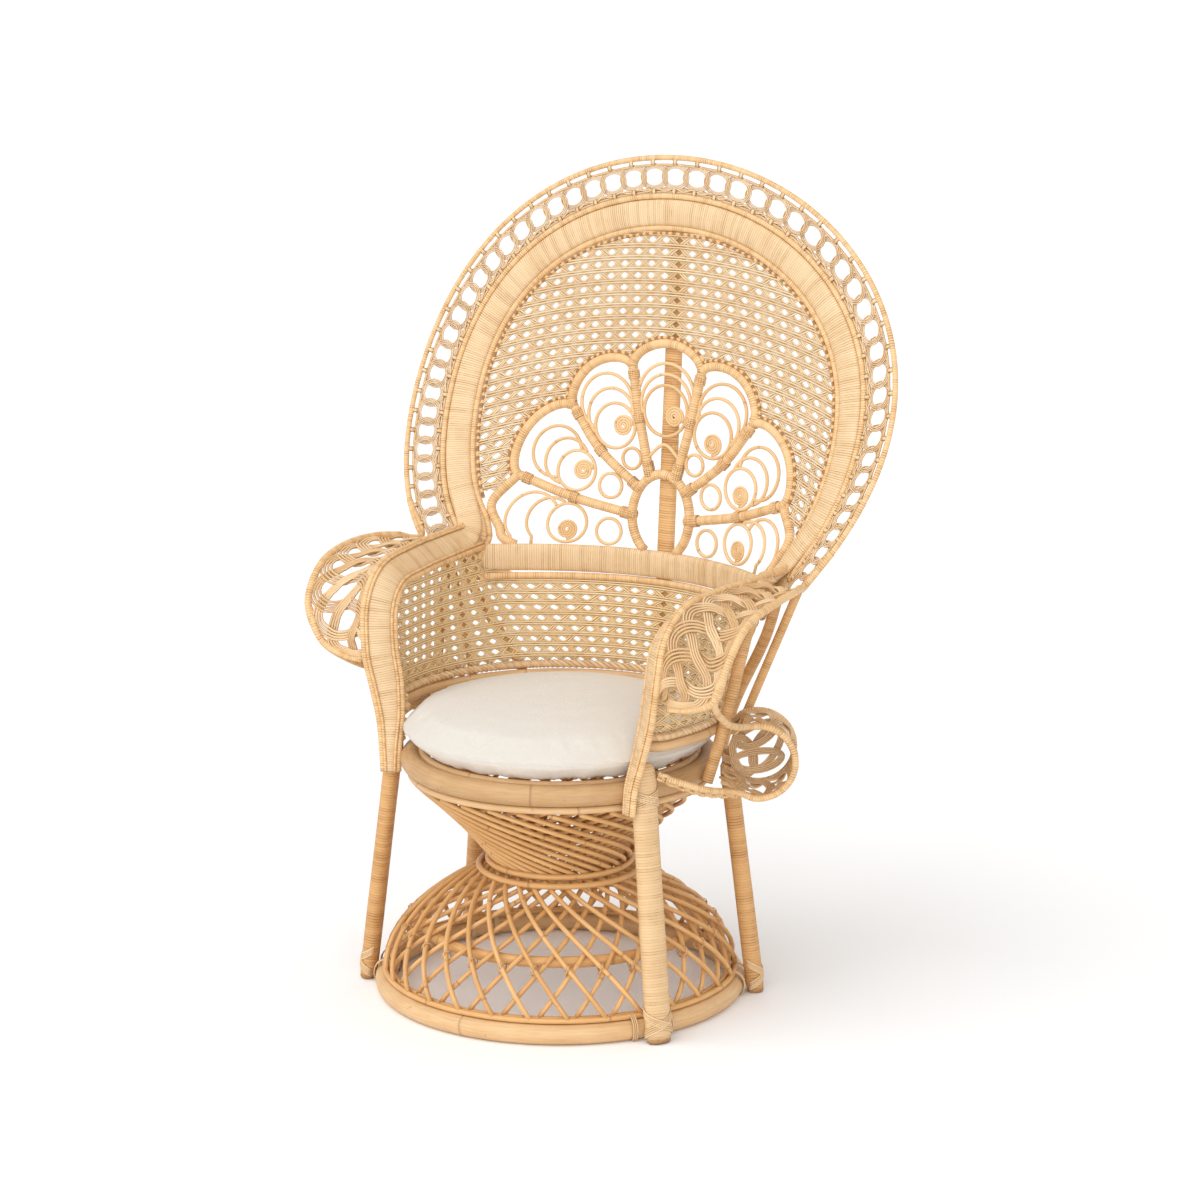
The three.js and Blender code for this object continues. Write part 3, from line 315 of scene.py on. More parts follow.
class Finish(Nodes):
    """A material under way, around one Principled shader."""

    def __init__(self, name):
        self.material = bpy.data.materials.new(name)
        self.material.use_nodes = True
        super().__init__(self.material.node_tree)
        self.shader = self.tree.nodes["Principled BSDF"]

    def kept(self, layer):
        """What the strands keep on their points: run, across or tone."""
        return self.node("ShaderNodeAttribute", {"attribute_name": layer}, {}, "Fac")

    def floor(self, value):
        return self.node("ShaderNodeMath", {"operation": "FLOOR"}, {0: value})

    def fraction(self, value):
        return self.node("ShaderNodeMath", {"operation": "FRACT"}, {0: value})

    def within(self, value, low, high):
        """0 below low, 1 above high, smooth between."""
        return self.node("ShaderNodeMapRange", {"interpolation_type": "SMOOTHSTEP"},
                         {"Value": value, "From Min": low, "From Max": high}, "Result")

    def speckle(self, scale, detail=3.0, vector=None):
        places = {"Scale": scale, "Detail": detail}
        places["Vector"] = vector or self.node("ShaderNodeTexCoord", {}, {}, "Object")
        return self.node("ShaderNodeTexNoise", {}, places, 0)

    def chance(self, value):
        return self.node("ShaderNodeTexWhiteNoise", {"noise_dimensions": "1D"}, {"W": value}, "Value")

    def joined(self, x, y, z):
        return self.node("ShaderNodeCombineXYZ", {}, {0: x, 1: y, 2: z})

    def blended(self, share, first, second):
        return self.node("ShaderNodeMix", {"data_type": "RGBA"}, {0: share, 6: first, 7: second}, 2)

    def colour(self, value):
        self.feed(self.shader.inputs["Base Color"], value)

    def roughness(self, value):
        self.feed(self.shader.inputs["Roughness"], value)

    def relief(self, height, distance):
        bump = self.node("ShaderNodeBump", {}, {"Height": height, "Distance": distance})
        self.feed(self.shader.inputs["Normal"], bump)


def wound_cane(name, pale, deep, dark, wrap, dash, line):
    """Flat cane wound round a core: each wrap has its own tone, and some joints show dark dashes."""
    finish = Finish(name)
    run = finish.kept("run")
    wander = finish.speckle(9, 2)
    wraps = run / (wrap * MM) + wander * 1.4
    phase = finish.fraction(wraps)
    crown = phase * (1 - phase) * 4
    lot = finish.chance(finish.floor(wraps) + finish.kept("tone") * 91)
    patch = finish.speckle(26, 4)
    shade = lot * 0.32 + patch * 0.75 - 0.1
    base = finish.blended(finish.within(shade, 0.1, 0.95), pale, deep)
    joint = 1 - finish.within(crown, 0.05, 0.42)
    broken = finish.speckle(60, 2)
    odd = finish.within(lot * 0.6 + broken * 0.9, 1.1 - dash * 0.5, 1.3 - dash * 0.5)
    gap = (1 - finish.within(crown, 0.2, 0.75)) * odd
    finish.colour(finish.blended(joint * line + gap * 0.5, base, dark))
    finish.roughness(0.42 + patch * 0.22)
    fibre = finish.speckle(420, 2)
    finish.relief(crown ** 0.6 + fibre * 0.12, 0.0006)
    return finish.material


def bare_rattan(name, pale, deep, dark):
    """A scraped pole: lengthwise grain, brown flecks and the odd ring where a leaf grew."""
    finish = Finish(name)
    run = finish.kept("run")
    across = finish.kept("across")
    tone = finish.kept("tone")
    along = finish.joined(run * 9, across * 3, tone * 37)
    streak = finish.speckle(3.2, 4, along)
    blotch = finish.speckle(14, 3)
    shade = streak * 0.8 + blotch * 0.5 + tone * 0.25 - 0.3
    base = finish.blended(finish.within(shade, 0.1, 0.75), pale, deep)
    ring = finish.fraction(run / 0.31 + tone * 5 + blotch * 0.05)
    knuckle = 1 - finish.within(ring, 0.0, 0.02)
    fleck = finish.within(finish.speckle(75, 3), 0.66, 0.76)
    finish.colour(finish.blended(knuckle * 0.5 + fleck * 0.4, base, dark))
    finish.roughness(0.36 + streak * 0.25)
    finish.relief(streak * 0.5 + knuckle, 0.0005)
    return finish.material


def split_cane(name, pale, deep, dark, edge_shade=0.7):
    """Flat split strands, each with its own tone and fine lengthwise fibres, and painted shade that darkens
    their edges.
    """
    finish = Finish(name)
    run = finish.kept("run")
    across = finish.kept("across")
    tone = finish.kept("tone")
    fibre = finish.speckle(4, 3, finish.joined(run * 30, across * 4, tone * 53))
    patch = finish.speckle(22, 3)
    shade = tone * 0.5 + fibre * 0.5 + patch * 0.55 - 0.3
    base = finish.blended(finish.within(shade, 0.1, 0.9), pale, deep)
    # Painted shade: each strand darkens towards its edges, where it meets and passes under its neighbours.
    edge = finish.within(across * across, 0.45, 1.0)
    finish.colour(finish.blended(edge * edge_shade, base, dark))
    finish.roughness(0.4 + fibre * 0.2)
    finish.relief(fibre - edge * 0.6, 0.0005)
    return finish.material


def tied_edge(name, pale, dark):
    """A binding whose pale ties cross a brown core."""
    finish = Finish(name)
    run = finish.kept("run")
    wander = finish.speckle(30, 2)
    phase = finish.fraction(run / 0.013 + wander * 1.5)
    tie = finish.within(phase, 0.3, 0.42) * (1 - finish.within(phase, 0.78, 0.9))
    patch = finish.speckle(60, 3)
    core = finish.blended(patch, dark, linear(176, 130, 80))
    finish.colour(finish.blended(tie, core, pale))
    finish.roughness(0.5 + patch * 0.2)
    finish.relief(tie + patch * 0.3, 0.001)
    return finish.material


THREAD_PITCH = 0.0011


def woven_linen(name, pale, deep):
    """Plain-weave linen with slubs along both threads."""
    finish = Finish(name)
    place = finish.node("ShaderNodeTexCoord", {}, {}, "Object")
    spread, depth, rise = [finish.node("ShaderNodeSeparateXYZ", {}, {0: place}, axis) for axis in range(3)]
    thread = 2 * math.pi / THREAD_PITCH
    warp = finish.node("ShaderNodeMath", {"operation": "SINE"}, {0: spread * thread})
    weft = finish.node("ShaderNodeMath", {"operation": "SINE"}, {0: (depth + rise) * thread})
    cloth = warp * weft * 0.5 + 0.5
    slub_x = finish.speckle(1, 3, finish.joined(spread * 60, (depth + rise) * 900, 0.0))
    slub_y = finish.speckle(1, 3, finish.joined(spread * 900, (depth + rise) * 60, 4.0))
    soft = finish.speckle(7, 3)
    shade = cloth * 0.25 + slub_x * 0.5 + slub_y * 0.5 + soft * 0.3 - 0.3
    finish.colour(finish.blended(finish.within(shade, 0.0, 0.9), deep, pale))
    finish.roughness(0.86 + cloth * 0.1)
    finish.relief(cloth + slub_x * 0.8 + slub_y * 0.8, 0.0005)
    finish.shader.inputs["Sheen Weight"].default_value = 0.2
    return finish.material


band_cane = wound_cane("band_cane", linear(231, 201, 159), linear(211, 173, 124), linear(138, 93, 48),
                       wrap=3.9, dash=0.62, line=0.46)
rod_cane = wound_cane("rod_cane", linear(236, 198, 147), linear(212, 166, 110), linear(130, 86, 44),
                      wrap=4.2, dash=0.66, line=0.28)
leg_cane = wound_cane("leg_cane", linear(226, 191, 145), linear(208, 168, 118), linear(118, 78, 42),
                      wrap=4.6, dash=0.45, line=0.14)
# Painted shade: a darker, browner copy of leg_cane for the front left and both rear legs, which stand in
# shade under the seat.
shaded_leg_cane = wound_cane("shaded_leg_cane", linear(215, 166, 107), linear(188, 137, 80), linear(112, 72, 36),
                           wrap=4.6, dash=0.7, line=0.2)
post_cane = wound_cane("post_cane", linear(228, 182, 124), linear(201, 150, 92), linear(112, 72, 36),
                       wrap=4.2, dash=0.6, line=0.28)
smooth_pole = bare_rattan("smooth_pole", linear(224, 187, 140), linear(202, 160, 109), linear(140, 94, 52))
seat_rattan = bare_rattan("seat_rattan", linear(198, 160, 114), linear(178, 136, 88), linear(132, 88, 48))
lattice_rod = bare_rattan("lattice_rod", linear(230, 183, 122), linear(202, 150, 90), linear(122, 79, 42))
scroll_rod = bare_rattan("scroll_rod", linear(236, 202, 154), linear(216, 174, 121), linear(152, 104, 58))
foot_wood = bare_rattan("foot_wood", linear(176, 132, 84), linear(140, 98, 58), linear(84, 56, 32))
# The third colour of each split cane is painted shade at its strands' edges; the lace's 0.85 sets how strong
# that shade is.
weave_cane = split_cane("weave_cane", linear(252, 222, 178), linear(237, 197, 145), linear(170, 120, 68))
# wall_cane is a lighter copy of weave_cane: painted light that lifts the shade on the wall inside the arms
# and behind the cushion.
wall_cane = split_cane("wall_cane", linear(255, 226, 176), linear(247, 206, 148), linear(186, 132, 74))
lace_cane = split_cane("lace_cane", linear(238, 206, 163), linear(218, 178, 128), linear(138, 94, 54), 0.85)
binding_cane = tied_edge("binding_cane", linear(226, 184, 130), linear(138, 94, 50))
linen = woven_linen("linen", linear(249, 243, 233), linear(235, 226, 213))


# Pedestal
def pedestal_line(count):
    """Stations up the pedestal's side: radius, height, the inward normal and the turn of the rods."""
    dome = []
    for t in steps(count):
        rise = math.sin(t * math.pi / 2)
        dome.append((mix(BASE_R, THROAT_R, rise ** 2), mix(FOOT_Z, WAIST_Z, rise)))
    funnel = []
    for t in steps(count)[1:]:
        bend = t - 0.06 * math.sin(math.pi * t)
        funnel.append((mix(THROAT_R, FUNNEL_TOP_R, bend), mix(WAIST_Z, FUNNEL_TOP_Z, t)))
    line = dome + funnel
    wound = [0.0]
    for (r0, z0), (r1, z1) in zip(line, line[1:]):
        wound.append(wound[-1] + 2 * math.hypot(r1 - r0, z1 - z0) / (r0 + r1))
    waist, top = wound[count], wound[-1]
    found = []
    for i, (r, z) in enumerate(line):
        (r0, z0), (r1, z1) = line[max(i - 1, 0)], line[min(i + 1, len(line) - 1)]
        length = math.hypot(r1 - r0, z1 - z0)
        if i < count:
            turn = DOME_TWIST * (1 - wound[i] / waist)
        else:
            turn = -FUNNEL_TWIST * (wound[i] - waist) / (top - waist)
        found.append((r, z, -(z1 - z0) / length, (r1 - r0) / length, turn))
    return found


def ring_line(radius, z, count):
    return [polar(360 * t, radius, z) for t in steps(count)]


def turns(count):
    """The angles of a loop's points, all the way round."""
    return [2 * math.pi * t for t in steps(count)]


def lattice_layer(name, node, direction, inset, start):
    piece = Piece(name)
    line = pedestal_line(16)
    for i in range(RODS_IN_LAYER):
        angle = start + 360 * i / RODS_IN_LAYER
        points = [polar(angle + direction * turn, r + nr * inset, z + nz * inset)
                  for r, z, nr, nz, turn in line]
        outwards = [Vector((p.x, p.y, 0)) for p in points]
        piece.strand(points, outwards, round_section(8, 8))
    piece.strand(ring_line(BASE_R - inset, FOOT_Z, 96), UP, round_section(9, 8), closed=True)
    piece.finish(lattice_rod, "pole", node)


def ring_piece(name, material, slot, rings, nodes, corners=16, count=120):
    piece = Piece(name)
    for radius, z, diameter in rings:
        piece.strand(ring_line(radius, z, count), UP, round_section(diameter, corners), closed=True)
    piece.finish(material, slot, *nodes)


ring_piece("base_pole", smooth_pole, "pole", [(BASE_R, BASE_POLE_D / 2, BASE_POLE_D)], ["base_ring"])
lattice_layer("lattice_outer", "twist_rods_outer", 1, 0, 0)
lattice_layer("lattice_inner", "twist_rods_inner", -1, LAYER_STEP, 4)

HOOP_D = 18
HOOP_Z = 110
hoop_low, hoop_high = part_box("inner_hoop")
HOOP_R = (hoop_high[0] - hoop_low[0]) / 2 / MM - HOOP_D / 2
ring_piece("dome_hoop", lattice_rod, "pole", [(HOOP_R, HOOP_Z, HOOP_D)], ["inner_hoop"])

WAIST_ROD_D = 10
WAIST_RINGS = ["waist_ring_lower", "waist_ring_upper"]
waist_rings = []
for ring_name in WAIST_RINGS:
    low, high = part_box(ring_name)
    ring_radius = (high[0] - low[0]) / 2 / MM - WAIST_ROD_D / 2
    waist_rings.append((ring_radius, (low[2] + high[2]) / 2 / MM, WAIST_ROD_D))
ring_piece("waist_hoops", lattice_rod, "pole", waist_rings, WAIST_RINGS, 10, 72)


KNOT_Z = 112


def hoop_knots():
    """Cane knots where the rods of both layers are tied to the hoop inside the dome."""
    piece = Piece("dome_knots")
    line = pedestal_line(40)
    r, z, nr, nz, turn = min(line[:40], key=lambda station: abs(station[1] - KNOT_Z))
    for i in range(RODS_IN_LAYER):
        angle = 360 * i / RODS_IN_LAYER + turn
        centre = polar(angle, r + nr * LAYER_STEP * 0.5, z + nz * LAYER_STEP * 0.5)
        out = polar(angle, 1, 0)
        across = Vector((-out.y, out.x, 0))
        normal = out * -nr + Vector((0, 0, -nz))
        slope = normal.cross(across)
        for lean in (0.5, -0.5):
            way = (slope + across * lean).normalized()
            loop = [centre + way * (9 * math.cos(a)) + normal * (11 * math.sin(a)) for a in turns(10)]
            piece.strand(loop, way.cross(normal), flat_section(3, 1.4, 4, 1), closed=True)
    piece.finish(post_cane, "wound")


hoop_knots()


# Seat
ring_piece("seat_pole", seat_rattan, "pole", [(SEAT_R, SEAT_Z, SEAT_POLE_D)], ["seat_ring"])
UNDER_ROD = (SEAT_R, 359.65, 12)
TOP_ROD = (219.5, 395.2, 13)
ring_piece("seat_rods", smooth_pole, "pole", [UNDER_ROD, TOP_ROD], ["seat_under_rod", "seat_top_rod"], 10)

DECK_R = 200
DECK_Z = 399.6
DECK_PITCH = 13
DECK_SHORTEST = 20


def seat_weave():
    """Strands woven across the seat under the cushion."""
    piece = Piece("seat_weave")
    reach = DECK_R // DECK_PITCH + 1
    for turned in (False, True):
        for i in range(-reach, reach + 1):
            offset = i * DECK_PITCH
            half = math.sqrt(max(DECK_R ** 2 - offset ** 2, 0))
            if half < DECK_SHORTEST:
                continue
            count = max(2, round(2 * half / DECK_PITCH))
            line = []
            for t in steps(count):
                along = mix(-half, half, t)
                lift = 0.8 * math.cos(math.pi * (round(along / DECK_PITCH) + i + turned))
                x, y = (offset, along) if turned else (along, offset)
                line.append(Vector((x, y, DECK_Z + lift)))
            across = Vector((1, 0, 0)) if turned else Vector((0, 1, 0))
            piece.strand(line, across, flat_section(8, 1.4, 4, 1))
    piece.finish(weave_cane, "cane", "seat_deck")


seat_weave()


# Legs
LEG_LOW_Z = BASE_POLE_D / 2 * (1 + math.tan(math.pi / 8))
LEG_LOW_R = 300.35
LEG_HIGH_R = 255.35
LEG_START_Z = 6
LASH_STRAND = 3.4
LASH_PROUD = 1.6
LASH_TURN = 118
# Where each lashing starts, and how far it climbs
LASHINGS = ((12, 40), (366, 28))


def leg_place(angle, thickness, z):
    """The middle of a leg, which leans in from the base ring to the seat ring."""
    share = (z - LEG_LOW_Z) / (SEAT_Z - LEG_LOW_Z)
    radius = mix(LEG_LOW_R + thickness / 2, LEG_HIGH_R + thickness / 2, share)
    return polar(angle, 1, 0) * radius + Vector((0, 0, z))


def leg(name, angle, width, thickness, top, material):
    piece = Piece(name)
    out = polar(angle, 1, 0)
    across = Vector((-out.y, out.x, 0))
    count = 40
    line = [leg_place(angle, thickness, mix(LEG_START_Z, top, t)) for t in steps(count)]
    sizes = [(1 + 0.02 * math.sin(7 * t),) * 2 for t in steps(count)]
    sizes[0] = (0.93, 0.93)
    sizes[-2:] = [(0.93, 0.9), (0.74, 0.62)]
    piece.strand(line, across, flat_section(width, thickness, 16, 0.9), sizes=sizes)
    piece.finish(material, "wound", name)


def foot_and_lashing(name, angle, width, thickness):
    """A bare foot, and crossed cane that ties the leg to the base ring."""
    out = polar(angle, 1, 0)
    across = Vector((-out.y, out.x, 0))
    foot = Piece(f"{name}_foot")
    foot_line = [leg_place(angle, thickness, z) for z in (0, 2, 9)]
    foot.strand(foot_line, across, flat_section(width, thickness, 16, 0.9),
                sizes=[(0.84, 0.84), (0.92, 0.92), (0.92, 0.92)])
    foot.finish(foot_wood, "pole")
    ties = Piece(f"{name}_lashing")
    for low, climb in LASHINGS:
        for crossing, strand in [(c, s) for c in (1, -1) for s in range(4)]:
            line = []
            for t in steps(12):
                turn = math.radians(mix(-LASH_TURN, LASH_TURN, t)) * crossing
                z = low + mix(0, climb, t) + (strand - 1.5) * LASH_STRAND
                line.append(leg_place(angle, thickness, z)
                            + across * (math.sin(turn) * (width / 2 + LASH_PROUD))
                            + out * (math.cos(turn) * (thickness / 2 + LASH_PROUD)))
            ties.strand(line, UP, flat_section(LASH_STRAND, 2, 6, 0.9))
    for side in (1, -1):
        for strand in range(3):
            centre = polar(angle + side * (width / 2 + 7 + 3.2 * strand) / 5.2, BASE_R, 18)
            outward = Vector((centre.x, centre.y, 0)).normalized()
            around = Vector((-outward.y, outward.x, 0))
            loop = [centre + outward * (19 * math.cos(a)) + UP * (22 * math.sin(a)) for a in turns(16)]
            loop = [Vector((p.x, p.y, max(p.z, 1.2))) for p in loop]
            ties.strand(loop, around, flat_section(3.2, 2, 6, 0.9), closed=True)
    ties.finish(lace_cane, "wound")


# The front left and rear legs take the darker leg cane, which is painted shade.
# Each leg's angle round the seat, its width, thickness and top, and its finish
LEGS = (
    ("front_leg_right", -27, 42, 28, 432, leg_cane),
    ("front_leg_left", 207, 42, 28, 412, shaded_leg_cane),
    ("rear_leg_right", 27, 29, 29, 384, shaded_leg_cane),
    ("rear_leg_left", 153, 29, 29, 384, shaded_leg_cane),
)
for leg_name, leg_angle, leg_width, leg_depth, leg_top, leg_finish in LEGS:
    leg(leg_name, leg_angle, leg_width, leg_depth, leg_top, leg_finish)
    foot_and_lashing(leg_name, leg_angle, leg_width, leg_depth)


# The fan's sheet
def curl(z):
    return math.exp((SILL_TOP - z) / FAN_CURL_FADE) / (2 * FAN_CURL_RADIUS)


def on_fan(x, z, forward=0.0):
    place = Vector((x, FAN_BACK + FAN_LEAN * (z - SILL_TOP) - curl(z) * x * x, z))
    return place + fan_front(x, z) * forward


def fan_front(x, z):
    return Vector((-2 * curl(z) * x, -1, FAN_LEAN + curl(z) * x * x / FAN_CURL_FADE)).normalized()


def rim_place(angle):
    t = math.radians(angle)
    rise = math.cos(t)
    return RIM_A * math.sin(t), FAN_CENTRE + (RIM_B if rise > 0 else RIM_LOW_B) * rise


def fan_guide(count):
    """Places round the rim, each with the way inwards along the sheet.

    They come in three parts: one neck, the arc over the top, and the other neck.
    """
    def inwards(at, along):
        return along.cross(fan_front(at.x, at.z)).normalized()
    arc = []
    for t in steps(count):
        angle = mix(-FAN_OPEN_ANGLE, FAN_OPEN_ANGLE, t)
        here, ahead = on_fan(*rim_place(angle)), on_fan(*rim_place(angle + 0.5))
        arc.append((here, inwards(here, ahead - here)))
    corner, arc_way = arc[-1]
    level = inwards(corner, Vector((0, -FAN_LEAN, -1)))
    turned = [(corner, arc_way.lerp(level, t)) for t in steps(8)[1:]]
    down = [(on_fan(corner.x, mix(corner.z, BAND_END, t)), level) for t in steps(4)[1:]]
    left = [(mirrored(at), mirrored(way)) for at, way in reversed(turned)]
    left_down = [(mirrored(at), mirrored(way)) for at, way in reversed(down)]
    return left_down, left + arc + turned, down


def walk_inwards(at, way, length):
    count = max(1, math.ceil(length / 6))
    for _ in range(count):
        facing = fan_front(at.x, at.z)
        way = (way - facing * way.dot(facing)).normalized()
        step = at + way * (length / count)
        at = on_fan(step.x, step.z)
    return at


guide_left, guide_arc, guide_right = fan_guide(110)


def fan_line(inset, with_necks=False):
    kept = guide_left + guide_arc + guide_right if with_necks else guide_arc
    line = []
    for at, way in kept:
        place = walk_inwards(at, way, inset)
        if not line or (place - line[-1]).length > 1:
            line.append(place)
    return line


def insides(line):
    return [along.cross(fan_front(p.x, p.z)).normalized() for p, along in zip(line, tangents(line))]


def fan_rod(name, node, inset, diameter):
    piece = Piece(name)
    line = fan_line(inset)
    piece.strand(line, insides(line), round_section(diameter, 8))
    piece.finish(rod_cane, "wound", node)


fan_rod("fan_rim_rod", "fan_rim", RIM_ROD_INSET, 9)
fan_rod("fan_outer_rod_wound", "fan_outer_rod", OUTER_ROD_INSET, 10)
fan_rod("fan_inner_rod_wound", "fan_inner_rod", INNER_ROD_INSET, 10)

fan_band = Piece("fan_band_wound")
band_line = fan_line(BAND_INSET, True)
fan_band.strand(band_line, insides(band_line), flat_section(BAND_WIDTH + 3, BAND_THICKNESS, 16, 0.7))
fan_band.finish(band_cane, "wound", "fan_band")


# Fringe: a chain of rings between the rim and the band
FRINGE_RINGS = 50
TOP_SPREAD = 0.12
RING_INSET = 33
RING_R = 17.2
RING_STRAND = 3.0
RING_OVERLAP = 0.595
RING_TILT = 2.6
TIE_TO_RIM = 29
TIE_TO_BAND = 28
# Strands that run the whole way round: inset and width
RUNNERS = ((14.2, 4.6), (53.2, 3.4), (57.4, 3.4))
ZIGZAG_LOW = 51
ZIGZAG_HIGH = 57


def even_line(line, count, spread=0.0):
    """A line divided again into even lengths, or into lengths that widen towards its middle."""
    lengths = [0.0]
    for a, b in zip(line, line[1:]):
        lengths.append(lengths[-1] + (b - a).length)
    found = []
    i = 0
    for t in steps(count):
        share = t - spread * math.sin(2 * math.pi * t) / (2 * math.pi)
        goal = share * lengths[-1]
        while i < len(line) - 2 and lengths[i + 1] < goal:
            i += 1
        span = max(lengths[i + 1] - lengths[i], 1e-9)
        found.append(line[i].lerp(line[i + 1], (goal - lengths[i]) / span))
    return found


def fringe():
    piece = Piece("fringe_rings")
    centres = even_line(fan_line(RING_INSET), FRINGE_RINGS, TOP_SPREAD)
    ways = tangents(centres)
    inner = insides(centres)
    spans = [(b - a).length for a, b in zip(centres, centres[1:])]
    spans.append(spans[-1])
    for centre, along, inwards, span in zip(centres, ways, inner, spans):
        facing = fan_front(centre.x, centre.z)
        tone = shuffle.random()
        for strand in (-1, 0, 1):
            radius = RING_R + strand * RING_STRAND
            reach = span * RING_OVERLAP + strand * RING_STRAND
            loop = [centre + along * (reach * math.cos(a)) + inwards * (radius * 1.04 * math.sin(a))
                    + facing * (RING_TILT * math.cos(a)) for a in turns(18)]
            across = [p - centre for p in loop]
            piece.strand(loop, across, flat_section(RING_STRAND - 0.4, 2.6, 6, 0.9), closed=True,
                         tone=tone + strand * 0.12)
        for outward, length in ((1, TIE_TO_RIM), (-1, TIE_TO_BAND)):
            foot = centre - inwards * (outward * (RING_R + 2))
            tip = centre - inwards * (outward * length)
            piece.strand([foot + facing * 2.4, foot.lerp(tip, 0.5) + facing * 3.6, tip + facing * 2.4],
                         along, flat_section(8, 2, 4, 1))
    for inset, wide in RUNNERS:
        line = fan_line(inset)
        piece.strand(line, insides(line), flat_section(wide, 3, 6, 0.9))
    low = even_line(fan_line(ZIGZAG_LOW), FRINGE_RINGS * 2)
    high = even_line(fan_line(ZIGZAG_HIGH), FRINGE_RINGS * 2)
    for phase in (0, 1):
        zigzag = []
        for i, (a, b) in enumerate(zip(low, high)):
            place = (a if (i + phase) % 2 else b).copy()
            zigzag.append(place + fan_front(place.x, place.z) * (1.5 if phase else -1.5))
        piece.strand(zigzag, insides(zigzag), flat_section(3.6, 2, 4, 1))
    piece.finish(lace_cane, "cane", "fringe_chain")


fringe()


# Motif: places are across from the middle and up from the sill's top edge
CUSPS = [(258, 113), (174, 230), (67, 305)]
SPOKE_FEET = [(52, 58), (44, 103), (26, 129)]
SPOKE_BENDS = [(160, 80), (122, 163), (49, 216)]
PETAL_SWELL = 42
ARCH_MIDDLE = 61
ARCH_TALL = 70
ARCH_HALF = 56
MOTIF_POLE_D = 16
TIE_R = 9.4


def flat(x, up):
    return Vector((x, 0, up))


def petal_edge(start, end):
    start, end = flat(*start), flat(*end)
    across = end - start
    outwards = Vector((across.z, 0, -across.x)).normalized()
    line = []
    for u in steps(28):
        t = (1 - math.cos(math.pi * u)) / 2
        line.append(start + across * t + outwards * (PETAL_SWELL * math.sqrt(math.sin(math.pi * t))))
    return line


def on_motif(line):
    return [on_fan(p.x, SILL_TOP + p.z) for p in line]


# The low petal touches the band where the arc ends, and again in its turn into the neck
neck_touch = [walk_inwards(at, way, PETAL_INSET) for at, way in (guide_arc[-9], guide_arc[-3])]
low_petal = spline([flat(*CUSPS[0])] + [flat(p.x, p.z - SILL_TOP) for p in neck_touch]
                   + [flat(262, 12), flat(240, 0)], 28)
mid_petal = petal_edge(CUSPS[0], CUSPS[1])
high_petal = petal_edge(CUSPS[1], CUSPS[2])
top_petal = petal_edge(CUSPS[2], (-CUSPS[2][0], CUSPS[2][1]))


def both(lines):
    return [line for given in lines for line in (given, [mirrored(p) for p in given])]


petals = both([low_petal, mid_petal, high_petal]) + [top_petal]
spokes = both([spline([flat(*a), flat(*b), flat(*c)], 18) for a, b, c in zip(SPOKE_FEET, SPOKE_BENDS, CUSPS)])
arch_reach = math.acos(-ARCH_MIDDLE / ARCH_TALL) - 0.06
arch_angles = [mix(-arch_reach, arch_reach, t) for t in steps(40)]
arch = [flat(ARCH_HALF * math.sin(a), ARCH_MIDDLE + ARCH_TALL * math.cos(a)) for a in arch_angles]

motif = Piece("motif_poles")
for pole in petals + spokes + [arch]:
    line = on_motif(pole)
    motif.strand(line, insides(line), round_section(MOTIF_POLE_D, 10))
motif.finish(rod_cane, "wound", "motif_frame")


def cusp_ties():
    """Bands of cane where spokes, petals and arch are tied together."""
    piece = Piece("motif_ties")
    for spoke in spokes:
        line = on_motif(spoke)
        last, half = len(line) - 1, len(line) // 2
        for place, ahead in ((0, 1), (1, 2), (last - 1, last - 2), (half, half + 1)):
            at = line[place].lerp(line[ahead], 0.4)
            along = (line[ahead] - line[place]).normalized()
            facing = fan_front(at.x, at.z)
            side = along.cross(facing)
            for strand in (-2, -1, 0, 1, 2):
                centre = at + along * (strand * 3)
                loop = [centre + side * (TIE_R * math.cos(a)) + facing * (TIE_R * math.sin(a))
                        for a in turns(14)]
                piece.strand(loop, along, flat_section(3, 2, 4, 1), closed=True)
    piece.finish(rod_cane, "wound")


cusp_ties()


def nearest_gap(place, lines):
    """How far a flat place is from the nearest of some lines."""
    best = 1e9
    for line in lines:
        for a, b in zip(line, line[1:]):
            span = b - a
            t = max(0, min(1, (place - a).dot(span) / max(span.length_squared, 1e-9)))
            best = min(best, (a + span * t - place).length)
    return best


sill_edge = [flat(-SILL_HALF, -4), flat(SILL_HALF, -4)]
poles = petals + spokes + [arch, sill_edge]
# Each scroll's middle, the way to its petal's tip, the step between its arcs, and the way to its snail
SCROLLS = [
    ((-167, 38), (-1.0, 0.12), 33, (0.05, -1)),
    ((167, 38), (1.0, 0.12), 33, (0, -1)),
    ((-160, 125), (-0.78, 0.62), 28, (1, 0.1)),
    ((160, 125), (0.78, 0.62), 28, (0, -1)),
    ((-95, 204), (-0.42, 0.9), 26, (1, 0.05)),
    ((95, 204), (0.42, 0.9), 26, (0, -1)),
    ((0, 236), (0, 1), 18, (0.85, -0.45)),
]
SMALL_RINGS = [(96, 28), (98, 104), (61, 152)]
ARC_FOOT = 14
SCROLL_D = 6
SCROLL_GAP = 10.2
SMALL_RING_GAP = 10.5
SNAIL_R = 17.5
SNAIL_HEART = 2.2
SNAIL_TURNS = 3.4
SNAIL_D = 4.8
ARC_REACH = math.radians(165)
ARC_FEWEST = 24


def flat_rod(piece, line, diameter, closed=False):
    placed = on_motif(line)
    piece.strand(placed, [fan_front(p.x, p.z) for p in placed], round_section(diameter, 6), closed=closed)


def flat_ring(middle, radius, count):
    return [middle + flat(radius * math.cos(a), radius * math.sin(a)) for a in turns(count)]


